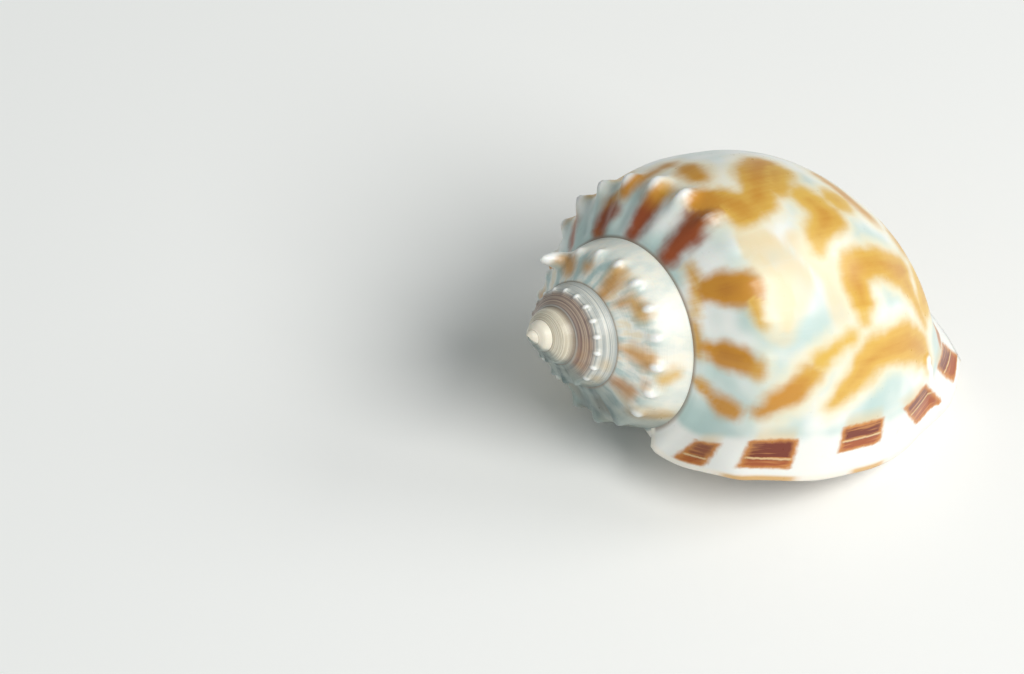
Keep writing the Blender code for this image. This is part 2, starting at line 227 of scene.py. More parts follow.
# %% Heights on the shoulder
NODULES_PER_WHORL = 18
NODULES_ADDED = 6  # on the last whorl
NODULE_START = 6 * DEGREE
LAST_WHORL = -40 * DEGREE
NODULE_HEIGHT = 1.6
NODULE_WIDTH = 0.04
NODULE_POINT = 3
FOLD_HEIGHT = 0.55
FOLD_FROM = 0.06
FOLD_FADE = 0.05
FOLDS_GROW_OVER = 20 * DEGREE
SMOOTH_FROM = 42 * DEGREE
SMOOTH_OVER = 25 * DEGREE
SMOOTH_SHARE = 0.14
FIRST_NODULES = LIP_END - 3.1 * TURN
NODULES_GROW_OVER = 60 * DEGREE
SUTURE_EDGE = 0.3
SUTURE_EDGE_AT = 0.022  # share
SUTURE_EDGE_WIDTH = 0.014


def nodule_wave(angle):
    """1 on each nodule's crest and 0 between: half a cosine of the number of nodules so far."""
    crest = NODULES_PER_WHORL * (angle - NODULE_START)
    crest = crest + NODULES_ADDED * np.clip(angle - LAST_WHORL, 0, None)
    return 0.5 + 0.5 * np.cos(crest)


def nodule_strength(angle):
    """Full on the middle whorls, growing in after the smooth first ones and fading towards the lip."""
    fade = 1 - (1 - SMOOTH_SHARE) * smooth_step((angle - SMOOTH_FROM) / SMOOTH_OVER)
    return fade * smooth_step((angle - FIRST_NODULES) / NODULES_GROW_OVER)


def nodules(angle, share):
    """Wave to a power, which makes the crests pointed, times a bell across the shoulder."""
    crest = nodule_strength(angle) * nodule_wave(angle) ** NODULE_POINT
    return crest * bell((share - SHOULDER_SHARE) / NODULE_WIDTH)


def ornament(angle, share):
    """Nodules, folds from the suture to the shoulder, and the thin raised edge at the suture."""
    folded = smooth_step((angle - LAST_WHORL) / FOLDS_GROW_OVER) * nodule_strength(angle)
    fold = nodule_wave(angle) * smooth_step(share / FOLD_FROM)
    fold = fold * (1 - smooth_step((share - SHOULDER_SHARE) / FOLD_FADE))
    edge = SUTURE_EDGE * bell((share - SUTURE_EDGE_AT) / SUTURE_EDGE_WIDTH)
    return NODULE_HEIGHT * nodules(angle, share) + FOLD_HEIGHT * fold * folded + edge


last_nodules = NODULES_PER_WHORL + NODULES_ADDED * (LIP_END - LAST_WHORL) / TURN
print("nodules on the last whorl", round(last_nodules))

# %% [markdown]
# ## Strokes on the unrolled shell
# Many small things lie anywhere on the coil, so distances are needed there. Near one place the coil is
# almost flat, and it is unrolled round that place: along the growth, and across the outline. A brush stroke
# on it is a chain of places with widths, which serves for raised forms and for colour.

# %% Distances and strokes
NOWHERE_NEAR = 1e3  # millimetres, more than any distance on the shell
LEAST_LENGTH = 1e-9


def map_distance(angle, share, centre_angle, centre_share):
    """Distance on the shell in millimetres, with the coil unrolled flat round the given place."""
    growth = np.exp(GROWTH * centre_angle)
    radius = float(outline(np.float64(centre_share))[0][0])
    along = (angle - centre_angle) * radius * growth
    across = (share - centre_share) * OUTLINE_LENGTH * growth
    return along, across


def stroke_depth(angle, share, stroke):
    """How deep a point lies in a brush stroke, in millimetres, and the stroke's tone there.

    A stroke is a chain of places with half widths: width minus the distance to the nearest part of it.
    """
    stroke = np.asarray(stroke, float)
    middle = stroke.mean(axis=0)
    x, y = map_distance(angle, share, middle[0] * DEGREE, middle[1])
    px, py = map_distance(stroke[:, 0] * DEGREE, stroke[:, 1], middle[0] * DEGREE, middle[1])
    best = np.full(np.shape(x), -NOWHERE_NEAR)
    tone = np.zeros(np.shape(x))
    for k in range(max(1, len(stroke) - 1)):
        j = min(k + 1, len(stroke) - 1)
        dx, dy = px[j] - px[k], py[j] - py[k]
        t = np.clip(((x - px[k]) * dx + (y - py[k]) * dy) / max(dx * dx + dy * dy, LEAST_LENGTH), 0, 1)
        width = stroke[k, 2] + (stroke[j, 2] - stroke[k, 2]) * t
        depth = width - np.hypot(x - px[k] - dx * t, y - py[k] - dy * t)
        tone = np.where(depth > best, stroke[k, 3] + (stroke[j, 3] - stroke[k, 3]) * t, tone)
        best = np.maximum(best, depth)
    return best, tone


one_degree = map_distance(DEGREE, SHOULDER_SHARE, 0, SHOULDER_SHARE)[0]
print("one degree at the shoulder is", round(float(one_degree), 2), "mm long")

# %% [markdown]
# ## One odd nodule and a tongue
# No shell is even. One nodule of the whorl before the last grew into a small hooked lobe, and a white
# tongue of late lime lies over the lip's back near the canal. Each has a formula of its own on the coil.

# %% Hooked lobe and tongue
LOBE = (-375 * DEGREE, 0.19)
LOBE_WIDTH = 1.25
LOBE_FLATNESS = 0.9
LOBE_REACH = 3.7
TONGUE = [(126, 0.775), (138, 0.80), (149, 0.83)]  # degrees and share
TONGUE_WIDTH = 1.45
TONGUE_HEIGHT = 0.6
TONGUE_EDGE = 0.9  # millimetres


def tongue(angle, share):
    """0 off the tongue, rising to 1 on it within a millimetre of its edge."""
    strokes = [(a, s, TONGUE_WIDTH, 0) for a, s in TONGUE]
    return smooth_step(stroke_depth(angle, share, strokes)[0] / TONGUE_EDGE)


def lobe(angle, share):
    """1 in the middle of the lobe, falling as e to the minus (distance over width) cubed."""
    x, y = map_distance(angle, share, *LOBE)
    return np.exp(-((np.hypot(x, LOBE_FLATNESS * y) / LOBE_WIDTH) ** 3))


print("the lobe reaches out", LOBE_REACH, "mm, and the tongue is", 2 * TONGUE_WIDTH, "mm wide")

# %% [markdown]
# ## The whole skin
# Everything so far is a height on the outline, and heights add up. The lobe is also drawn towards the apex,
# and a low swelling lies along the lip's back. The sum is placed on the coil.

# %% Outer skin
LOBE_RISE = 0.55
LOBE_HOOK = 1.25
LIP_BACK_HEIGHT = 0.5
LIP_BACK_AT = 7.0  # millimetres from the edge
LIP_BACK_WIDTH = 4.5
LIP_BACK_FROM = 0.15  # share


def skin(back, share):
    """Outer surface: the outline raised by its ornament, placed on the coil, with the lobe drawn out."""
    angle = coil_angle(back, share)
    line, out = outline(share)
    growth = np.exp(GROWTH * angle)
    lip_back = LIP_BACK_HEIGHT * bell((from_lip(angle, share) - LIP_BACK_AT) / LIP_BACK_WIDTH)
    lip_back = lip_back * smooth_step(share / LIP_BACK_FROM)
    height = ornament(angle, share)
    height = height + (flare(back, share) + lip_back + TONGUE_HEIGHT * tongue(angle, share)) / growth
    drawn = lobe(angle, share)
    reach = LOBE_REACH / math.exp(GROWTH * LOBE[0])
    line = line + out * (height + reach * LOBE_RISE * drawn * (LOBE_HOOK - drawn))[..., None]
    line = line - np.array([0.0, 1.0]) * (reach * drawn)[..., None]
    return place(angle, line[..., 0], line[..., 1]), angle


print("the lip's middle in mm on the coil", np.round(skin(np.zeros(1), np.full(1, 0.5))[0][0], 1))

# %% [markdown]
# ## The whorls as a grid
# The whorls are a grid of rows across and columns round. A whorl's first row is the last row of the whorl
# before, so the suture is closed by sharing points, not by welding later. Columns stand closer near the lip,
# where the edge turns.

# %% Whorl grid
COLUMNS = 300
WHORL_ROWS = 26
LIP_CROWDING = 0.35
APEX_TIP = 0.35  # share of the way down to the first whorl's lower suture
APEX_ROUNDING = 0.7


def column_backs(count):
    """Angles back from the lip: even steps minus a sine, which crowds them at the start of each turn."""
    even = np.arange(count + 1) / COLUMNS
    return TURN * even - LIP_CROWDING * np.sin(TURN * even)


def whorl_grid():
    """All whorls: the skin, with each row's ends moved onto the sutures that they share."""
    total = WHORLS * COLUMNS
    share = np.linspace(0, NEXT_SHARE, WHORL_ROWS + 1)
    back = column_backs(total)
    backs, all_shares = np.meshgrid(back, share, indexing="ij")
    grid, angle = skin(backs, all_shares)
    lower = place(LIP_END - back, np.full_like(back, NEXT_SUTURE[0]), np.full_like(back, NEXT_SUTURE[1]))
    apex = np.array([APEX_TIP * lower[total - COLUMNS // 2, 0], 0.0, 0.0])
    grown = smooth_step((total - np.arange(total + 1)) / COLUMNS) ** APEX_ROUNDING
    lower = apex + (lower - apex) * grown[:, None]
    lower[:COLUMNS] = grid[:COLUMNS, -1]
    upper = np.vstack([lower[COLUMNS:], np.repeat(apex[None], COLUMNS, axis=0)])
    down = (share / NEXT_SHARE)[None, :, None]
    grid = grid + (1 - down) * (upper - grid[:, 0])[:, None] + down * (lower - grid[:, -1])[:, None]
    return grid, angle, all_shares


whorls, whorl_angles, whorl_shares = whorl_grid()
print("whorl grid", whorls.shape[:2])

# %% [markdown]
# ## The base as a second grid
# The last whorl goes on below the suture line as the base. It is drawn out to the canal's rim, a curve of its
# own, and the draw starts earlier behind the canal.

# %% Base grid
BASE_ROWS = 46
DRAWN_FROM = 0.85  # share of the outline
DRAWN_FROM_BEHIND = 0.72
BEHIND_BY = 90 * DEGREE
CANAL_RIM = [
    (86.3, -16.6, 10.6),
    (85.8, -12.5, 9.0),
    (84.5, -9.8, 8.5),
    (83.0, -5.5, 6.5),
    (82.0, -3.0, 2.5),
    (80.0, -3.0, -2.0),
    (76.0, -3.5, -6.0),
    (70.0, -3.0, -9.0),
    (63.0, -2.0, -10.5),
    (56.0, -1.0, -11.3),
]


def base_grid():
    """The last whorl below the suture line: the skin plus a soft draw towards the canal's rim."""
    share = np.linspace(NEXT_SHARE, 1, BASE_ROWS + 1)
    back = column_backs(COLUMNS)
    backs, all_shares = np.meshgrid(back, share, indexing="ij")
    grid, angle = skin(backs, all_shares)
    rim = curve_through(CANAL_RIM, back / TURN)
    behind = smooth_step(1 - angle[:, -1:] / BEHIND_BY)
    start = DRAWN_FROM + (DRAWN_FROM_BEHIND - DRAWN_FROM) * behind
    drawn = smooth_step((all_shares - start) / (1 - start))
    return grid + drawn[..., None] * (rim - grid[:, -1])[:, None], angle, all_shares


base, base_angles, base_shares = base_grid()
print("base grid", base.shape[:2])

# %% [markdown]
# ## The mouth
# On the underside the thick lip carries a row of small teeth. The hole that whorls and base leave is one
# closed loop, and the aperture's edge is another. It runs along the lip first, where a cosine makes the
# teeth, and comes back along the inner lip, which is a curve through a few points.

# %% Aperture's edge
LIP_SHARE = 0.42
RIM_SHARE = 0.72
LIP_ROLL = 7 * DEGREE
LIP_THICKNESS = 2.6
LIP_BULGE = 1.6
MOUTH_ON_LIP = (0.12, 0.97)
INNER_LIP = [
    (84.3, -12.3, 5.6),
    (82.8, -9.2, 3.8),
    (80.0, -9.0, 0.4),
    (75.5, -10.8, -2.2),
    (69.0, -13.6, -3.6),
    (61.5, -16.2, -4.3),
    (53.5, -18.7, -4.7),
    (46.0, -20.8, -4.8),
    (39.0, -22.2, -4.4),
    (34.0, -22.6, -3.0),
    (31.5, -22.2, -1.2),
]
CORNER_SHARE = 0.02
CORNER_ROUNDED_BY = 0.05
TEETH = 18
TOOTH_HEIGHT = 0.75
TOOTH_POINT = 1.5
TEETH_FROM = 0.08  # share of the lip's side
TEETH_TO = 0.97
TEETH_FADE = 0.1


def toothed_lip(on_lip):
    """Inner edge of the lip: the outline moved in by the lip's thickness plus a cosine row of teeth."""
    along = MOUTH_ON_LIP[0] + (MOUTH_ON_LIP[1] - MOUTH_ON_LIP[0]) * np.asarray(on_lip, float)
    angle = lip_angle(along) + LIP_ROLL
    line, out = outline(along)
    toothed = smooth_step((on_lip - TEETH_FROM) / TEETH_FADE)
    toothed = toothed * smooth_step((TEETH_TO - on_lip) / TEETH_FADE)
    tooth = TOOTH_HEIGHT * toothed * (0.5 - 0.5 * np.cos(TEETH * TURN * on_lip)) ** TOOTH_POINT
    inwards = LIP_THICKNESS + tooth - TURN_UP_INSIDE * TURN_UP * turn_up(along)
    line = line - out * (inwards / np.exp(GROWTH * angle))[..., None]
    return place(angle, line[..., 0], line[..., 1])


def mouth_edge(share):
    """The aperture's edge: the toothed lip first, then the inner lip's curve back to the start."""
    lip_side = toothed_lip(np.clip((share - CORNER_SHARE) / (LIP_SHARE - CORNER_SHARE), 0, 1))
    past_lip = np.clip((share - LIP_SHARE) / (1 - LIP_SHARE), 0, 1)
    inner = curve_through([toothed_lip(1.0)] + INNER_LIP, past_lip)
    corner = smooth_step(share / CORNER_ROUNDED_BY)[..., None]
    lip_side = np.array(INNER_LIP[-1]) * (1 - corner) + lip_side * corner
    return np.where((share < LIP_SHARE)[..., None], lip_side, inner)


lip_length = np.linalg.norm(toothed_lip(1.0) - toothed_lip(0.0))
print("teeth", TEETH, "on a lip of", round(float(lip_length), 1), "mm from end to end")

# %% [markdown]
# A glossy shield spreads over the belly beside the mouth. Rows between the two loops make it, and the lip's
# face as well. A straight mix of the loops would be flat, so it is arched, and low wrinkles cross the shield.

# %% Shield and lip's face
SHIELD_BULGE = 2.2
SHIELD_THICKNESS = 0.8
SHIELD_FROM = 0.12  # past the lip's share
SHIELD_FADES = (0.1, 0.06)
SHIELD_EDGES = (0.12, 0.3)
LIP_FACE_FADES = (0.03, 0.04)
WRINKLE_HEIGHT = 0.28
WRINKLES = 150  # radians round the mouth
WRINKLE_SLANT = 5
WRINKLE_BEND = 2  # radians
WRINKLE_BENDS = 40


def mouth_row(hole, hole_shares, share, across):
    """A row from the skin's edge (across 0) to the aperture's (1): a straight mix, arched and wrinkled."""
    edge = np.stack([np.interp(share, hole_shares, hole[:, k]) for k in range(3)], axis=-1)
    row = edge + (mouth_edge(share) - edge) * across
    arch = 4 * across * (1 - across)
    radial = row * np.array([0.0, 1.0, 1.0])
    radial = radial / np.linalg.norm(radial, axis=-1, keepdims=True)
    forward = np.cross(np.array([1.0, 0.0, 0.0]), radial)
    on_lip = smooth_step((LIP_SHARE - share) / LIP_FACE_FADES[1]) * smooth_step(share / LIP_FACE_FADES[0])
    on_shield = smooth_step((share - LIP_SHARE - SHIELD_FROM) / SHIELD_FADES[0])
    on_shield = on_shield * smooth_step((1 - share) / SHIELD_FADES[1])
    thickness = smooth_step(across / SHIELD_EDGES[0]) * smooth_step((1 - across) / SHIELD_EDGES[1])
    bent = WRINKLES * share + WRINKLE_SLANT * across + WRINKLE_BEND * np.sin(WRINKLE_BENDS * share)
    wrinkle = WRINKLE_HEIGHT * arch * np.sin(bent)
    lip = LIP_BULGE * arch * on_lip[:, None] * forward
    lift = SHIELD_BULGE * arch + SHIELD_THICKNESS * thickness + wrinkle
    return row + lip + (lift * on_shield)[:, None] * radial


print("the shield is arched by", SHIELD_BULGE, "mm, with wrinkles of", WRINKLE_HEIGHT, "mm")

# %% [markdown]
# The hollow that the animal lived in is the aperture's edge swept back along the coil. Within an eighth of a
# turn it widens to a section of its own, which keeps the wall's thickness under the outline and goes round
# the columella, the pillar in the middle of the coil.

# %% Hollow
HOLLOW_ANGLE = 172 * DEGREE
HOLLOW_WALL = 1.6
HOLLOW_ON_LIP = (0.07, 0.86)
HOLLOW_COLUMELLA = [
    (5.2, 54.0),
    (4.6, 48.0),
    (5.6, 42.0),
    (7.6, 38.0),
    (10.3, 35.0),
    (12.9, 31.2),
    (14.7, 27.0),
    (15.2, 24.0),
]
HOLLOW_DEPTH = 300 * DEGREE
HOLLOW_WIDENS_BY = 45 * DEGREE
NECK_DEPTH = 40.0
NECK_SQUEEZE = 0.45
NECK_FROM = 50 * DEGREE
NECK_TO = 140 * DEGREE
CANAL_SHARES = (0.36, 0.42, 0.54, 0.62)  # between them, by the canal, the edge isn't swept back


def hollow_section(share):
    """Section of the hollow: inside the wall along the outline, then round the columella."""
    first, last = HOLLOW_ON_LIP
    along = np.append(first + (last - first) * np.clip(share / LIP_SHARE, 0, 1), HOLLOW_ON_LIP)
    line, out = outline(along)
    outer = line - out * HOLLOW_WALL
    start, end = outer[-2:]
    past_lip = np.clip((share - LIP_SHARE) / (1 - LIP_SHARE), 0, 1)
    inner = curve_through([end] + HOLLOW_COLUMELLA + [start], past_lip)
    return np.where((share < LIP_SHARE)[..., None], outer[:-2], inner)


def hollow_row(share, back):
    """The aperture's edge swept back, which turns into the hollow's section over the first stretch."""
    at_canal = smooth_step(np.interp(share, CANAL_SHARES, (0, 1, 1, 0)))
    mouth = sweep_back(mouth_edge(share), back * (1 - at_canal))
    section = hollow_section(share)
    squeeze = NECK_SQUEEZE * smooth_step((back - NECK_FROM) / (NECK_TO - NECK_FROM))
    section[:, 1] -= squeeze * np.clip(section[:, 1] - NECK_DEPTH, 0, None)
    deep = place(HOLLOW_ANGLE - back, section[:, 0], section[:, 1])
    return mouth + (deep - mouth) * smooth_step(back / HOLLOW_WIDENS_BY)


print("the hollow goes back", round(HOLLOW_DEPTH / TURN, 2), "of a turn")

# %% [markdown]
# ## Where the colour goes
# The pattern is brown and tan blotches in rows round the whorl, which ran together with the growth, and a
# few dark squares on the lip's back. An image could be wrapped round it, but it would stretch and need
# unwrapping. Instead each blotch is a brush stroke on the unrolled coil: places with an angle in degrees, a
# share of the outline, a half width in millimetres and a tone from tan (0) to dark brown (1). What a point
# stores is its depth inside the nearest stroke, which stays sharp between points.

# %% Blotches of the last whorl
STROKES = [
    [(-27, 0.05, 0.9, 1.0), (-25, 0.12, 0.8, 0.8), (-24, 0.18, 0.4, 0.3)],
    [(1, 0.025, 1.6, 0.8), (4, 0.075, 1.9, 1.0), (3, 0.124, 1.4, 0.6), (6, 0.149, 0.9, 0.2)],
    [(30, 0.025, 1.4, 1.0), (29, 0.075, 1.6, 1.0), (28, 0.137, 1.3, 0.6), (29, 0.174, 0.9, 0.2)],
    [(58, 0.037, 1.8, 1.0), (55, 0.087, 2.4, 1.0), (52, 0.162, 2.3, 0.8), (51, 0.224, 2.0, 0.4)],
    [(47, 0.224, 3.0, 0.3), (49, 0.261, 3.1, 0.15), (56, 0.286, 3.3, 0.1)],
    [(55, 0.348, 2.7, 0.1), (45.6, 0.405, 3.1, 0.15), (35.5, 0.499, 2.8, 0.2)],
    [(41.9, 0.499, 3.0, 0.1), (52.1, 0.436, 2.0, 0.1)],
    [(11, 0.149, 0.8, 0.5), (13, 0.224, 1.0, 0.4), (15, 0.299, 1.2, 0.3)],
    [(26, 0.299, 2.1, 0.25), (33, 0.286, 1.5, 0.25)],
    [(58.2, 0.509, 2.9, 0.05), (66.1, 0.519, 3.6, 0.1), (72.8, 0.457, 2.2, 0.05), (78.7, 0.425, 1, 0.05)],
    [(59.8, 0.614, 2.4, 0.05)],
    [(86.1, 0.519, 2.7, 0.1), (85.4, 0.624, 2.8, 0.1), (89.1, 0.739, 3.0, 0.1)],
    [(90.9, 0.509, 2.6, 0.1), (97.1, 0.509, 2.0, 0.1), (102.3, 0.499, 1.0, 0.05)],
    [(95.0, 0.739, 2.3, 0.1), (103.2, 0.76, 1.5, 0.1), (112.3, 0.791, 0.9, 0.1)],
    [(83.9, 0.075, 2.3, 0.35), (84.7, 0.124, 2.8, 0.45), (86.4, 0.187, 2.1, 0.3)],
    [(69.0, 0.062, 0.5, 0.2), (80.0, 0.05, 1.0, 0.2), (93.9, 0.025, 0.5, 0.1)],
    [(90.8, 0.187, 1.1, 0.1), (99.5, 0.187, 0.7, 0.1)],
    [(111.4, 0.037, 1.5, 0.3), (113.4, 0.075, 2.3, 0.45), (114.7, 0.124, 2.1, 0.4), (117.3, 0.162, 1.2, 0.2)],
    [(101.0, 0.012, 0.7, 0.2), (113.9, 0.012, 1.0, 0.2)],
    [(132.9, 0.012, 0.6, 0.2), (137.3, 0.05, 1.0, 0.3), (138.9, 0.087, 1.5, 0.4), (138.4, 0.124, 0.9, 0.3)],
    [(134.8, 0.187, 0.9, 0.35), (129.6, 0.224, 1.7, 0.4), (124.4, 0.274, 2, 0.3), (118.9, 0.311, 1.6, 0.15)],
    [
        (129.9, 0.373, 0.5, 0.1),
        (125.4, 0.415, 1.1, 0.1),
        (118.2, 0.478, 2.7, 0.1),
        (113.7, 0.551, 3.1, 0.1),
        (113.6, 0.666, 3.3, 0.1),
        (120.1, 0.749, 2.8, 0.1),
        (127.7, 0.781, 1.3, 0.1),
    ],
    [(114.6, 0.336, 1.0, 0), (110.6, 0.394, 1.3, 0), (108.3, 0.446, 1.2, 0)],
    [(44.0, 0.66, 1.0, 0.2), (54.0, 0.695, 1.5, 0.25), (60.0, 0.71, 1.5, 0.25), (66.0, 0.74, 1.2, 0.2)],
]
SPIRE_STROKES = [
    [(-337, 0.1, 0.7, 0.3)],
    [(-311, 0.162, 0.6, 0.2), (-305, 0.1, 0.9, 0.3), (-300, 0.025, 0.9, 0.35)],
    [(-284, 0.062, 0.8, 0.35), (-284, 0.124, 0.9, 0.25), (-274, 0.149, 0.9, 0.2)],
    [(-241, 0.012, 0.9, 0.4), (-240, 0.075, 1.1, 0.45), (-236, 0.137, 0.9, 0.3)],
    [(-202, 0.037, 1.0, 0.6), (-205, 0.1, 1.1, 0.55)],
    [(-219, 0.162, 0.5, 0.55)],
    [(-225, 0.224, 1.0, 0.1), (-230, 0.286, 0.7, 0.1)],
    [(-192, 0.212, 1.5, 0.2), (-196, 0.336, 1.1, 0.15)],
    [(-367, 0.174, 0.9, 0.3), (-356, 0.075, 0.7, 0.3)],
]
print("strokes drawn one by one", len(STROKES) + len(SPIRE_STROKES))

# %% [markdown]
# The far side follows the same rule with a seeded scatter, so that the pattern goes on all round: five rows,
# and a column of growth every 26 degrees or so, with a few gaps. Each row ends where the strokes above begin.

# %% Blotches of the far side
PATTERN_ROWS = {0.09: -48, 0.25: -2, 0.48: 22, 0.70: 38, 0.88: 96}  # share: last angle in degrees
COLUMN_STEP = 26.0
FAR_SIDE_START = -168
SPIRE_ROWS = {0.08: -395, 0.27: -395}
SPIRE_START = -900
FAR_WIDTH = 2.9
SPIRE_WIDTH = 1.5
ANGLE_SHIFT = 7
SHARE_SHIFT = 0.02
SIZE_RANGE = (0.7, 1.3)
LEAN_SHIFT = 0.05
RUN_RANGE = (3, 9)  # degrees
TONE_MOST = 0.35
DARK_ROW = 0.12  # strokes nearer the suture than this share are darker
DARKER_BY = 0.3
END_TAPER = 0.7
GAPS = 0.12


def scattered_strokes(first, rows, width, seed):
    """Short strokes on a jittered lattice: place = lattice point + a random shift, width x 0.7 to 1.3."""
    random = np.random.default_rng(seed)
    columns = np.arange(first, max(rows.values()), COLUMN_STEP)
    angle, share = (g.ravel() for g in np.meshgrid(columns, list(rows), indexing="ij"))
    before_end = angle < np.tile(list(rows.values()), len(columns))
    angle = angle + random.uniform(-ANGLE_SHIFT, ANGLE_SHIFT, angle.shape)
    share = share + random.uniform(-SHARE_SHIFT, SHARE_SHIFT, share.shape)
    size = width * random.uniform(*SIZE_RANGE, angle.shape) * np.exp(GROWTH * angle * DEGREE)
    lean = random.uniform(-LEAN_SHIFT, LEAN_SHIFT, angle.shape)
    run = random.uniform(*RUN_RANGE, angle.shape)
    tone = random.uniform(0.0, TONE_MOST, angle.shape) + DARKER_BY * (share < DARK_ROW)
    ends = [np.stack([angle, share, size, tone], axis=-1)]
    ends.append(np.stack([angle + run, share + lean, size * END_TAPER, tone * END_TAPER], axis=-1))
    kept = before_end & (random.uniform(0, 1, before_end.shape) > GAPS)
    return list(np.stack(ends, axis=1)[kept])


STROKES += scattered_strokes(FAR_SIDE_START, PATTERN_ROWS, FAR_WIDTH, 11)
SPIRE_STROKES += scattered_strokes(SPIRE_START, SPIRE_ROWS, SPIRE_WIDTH, 5)
print("strokes:", len(STROKES), "on the last whorl,", len(SPIRE_STROKES), "on the spire")

# %% [markdown]
# A point's depth is the largest over all strokes, so strokes that touch run together into one blotch, as they
# do on the real shell.

# %% Depth in the blotches
NO_BLOTCH = -20.0  # millimetres


def blotch_fields(angle, share):
    """Depth in the deepest stroke and its tone, from the strokes of the last whorl or the spire."""
    fields = []
    for strokes in (STROKES, SPIRE_STROKES):
        depth = np.full(np.shape(angle), NO_BLOTCH)
        tone = np.zeros(np.shape(angle))
        for stroke in strokes:
            here, shade = stroke_depth(angle, share, stroke)
            tone = np.where(here > depth, shade, tone)
            depth = np.maximum(depth, here)
        fields.append((depth, tone))
    body = angle > LIP_END - TURN
    return [np.where(body, last, spire) for last, spire in zip(*fields)]


middle = blotch_fields(np.full(1, 55 * DEGREE), np.full(1, 0.35))
print("in the middle of a blotch the depth is", round(float(middle[0][0]), 1), "mm")

# %% [markdown]
# ## The lip's dark squares
# Five squares of dark red-brown and a small spot sit on the lip's back, in a row along its edge. Each is a
# box on the unrolled lip: how far from the edge it starts and ends, and between which shares. A thin ridge
# crosses each square, parallel to the edge, with a pale painted highlight along it, and a soft tan haze lies
# behind.

# %% Squares and haze
# first and last millimetre from the edge, first and last share, place of the ridge and its painted highlight,
# colour depth, and how much the shares fall with each millimetre from the edge
SQUARES = [
    (1.3, 6.8, 0.076, 0.122, 2.9, 0.8, 0.0),
    (2.5, 8.0, 0.186, 0.300, 4.2, 1.0, 0.0),
    (5.0, 9.7, 0.430, 0.560, 6.9, 1.0, 0.0),
    (2.9, 9.2, 0.686, 0.798, 6.2, 1.0, 0.012),
    (1.9, 8.0, 0.888, 0.964, 4.8, 1.0, 0.010),
    (9.0, 10.8, 0.905, 0.945, 12.0, 0.6, 0.0),
]
SIDE_SOFTNESS = 0.55
FAR_SOFTNESS = 0.7
HAZE_REACH = 3.2
HAZE_SPREAD = 0.6
HAZE_EDGE = 1.8
FAR_AWAY = 50.0  # millimetres


def square_fields(angle, share):
    """Depth in the nearest square (least distance to its sides), distance to its ridge, haze and colour.

    The distances to the ends and to the far side count for less, so those edges come out softer.
    """
    edge = from_lip(angle, share)
    growth = np.exp(GROWTH * lip_angle(share))
    along = share * OUTLINE_LENGTH * growth
    depth = np.full(np.shape(angle), -FAR_AWAY)
    ridge = np.full(np.shape(angle), FAR_AWAY)
    haze = np.zeros(np.shape(angle))
    dark = np.zeros(np.shape(angle))
    for near, far, first, last, line, strength, slant in SQUARES:
        here = along + slant * (edge - (near + far) / 2) * OUTLINE_LENGTH * growth
        starts, ends = first * OUTLINE_LENGTH * growth, last * OUTLINE_LENGTH * growth
        sides = np.minimum(here - starts, ends - here)
        inside = np.minimum(np.minimum(SIDE_SOFTNESS * sides, edge - near), FAR_SOFTNESS * (far - edge))
        ridge = np.where(inside > depth, edge - line, ridge)
        dark = np.where(inside > depth, strength, dark)
        depth = np.maximum(depth, inside)
        behind = 1 - np.clip((edge - far) / HAZE_REACH, 0, 1)
        beside = smooth_step((sides + HAZE_SPREAD) / HAZE_EDGE)
        haze = np.maximum(haze, behind * beside * (edge > near))
    return depth, ridge, haze, dark


print("squares start", [values[0] for values in SQUARES], "mm from the lip's edge")

# %% [markdown]
# ## Pale places
# Late lime is whiter than the rest: the nodules' tips, the rim and the tongue. A broad patch on the belly
# is creamy instead, partly the shell's own cream and partly a painted highlight, and one side of the spire
# carries painted shade. They are fields as well, from 0 to 1.

# %% Pale fields
# the creamy patch on the belly: partly the shell's own cream, partly a painted highlight where the glare lies
CREAM_AND_HIGHLIGHT_PLACES = [  # the last value of each is how strong the cream is
    [(70, 0.27, 3.2, 0.6), (86, 0.30, 4.8, 0.6), (103, 0.24, 3.4, 0.6)],
    [(74, 0.38, 3.0, 0.55), (88, 0.44, 3.4, 0.55), (100, 0.42, 2.8, 0.55)],
    [(78, 0.24, 1.6, 1.0), (92, 0.27, 2.0, 1.0), (102, 0.255, 1.6, 1.0)],
    [(66, 0.24, 1.2, 1.0), (74, 0.22, 1.0, 1.0)],
]
CREAM_AND_HIGHLIGHT_EDGE = 3.5  # millimetres
RIM_TAN = [(0.15, 0.34), (0.47, 0.60)]  # shares
RIM_TAN_EDGE = 0.03
RIM_TAN_REACH = (1.6, 0.8)  # millimetres from the edge, and how softly it ends
# painted shade: the spire's flank that turns from the light is darkened in its colour
PAINTED_SHADE_AT = 205 * DEGREE  # the spire's darker side
PAINTED_SHADE_EDGE = 0.6
PAINTED_SHADE_FROM = (0.72, 0.15)  # whorls back from the lip, and how softly it starts
LOBE_WHITE = 1.6


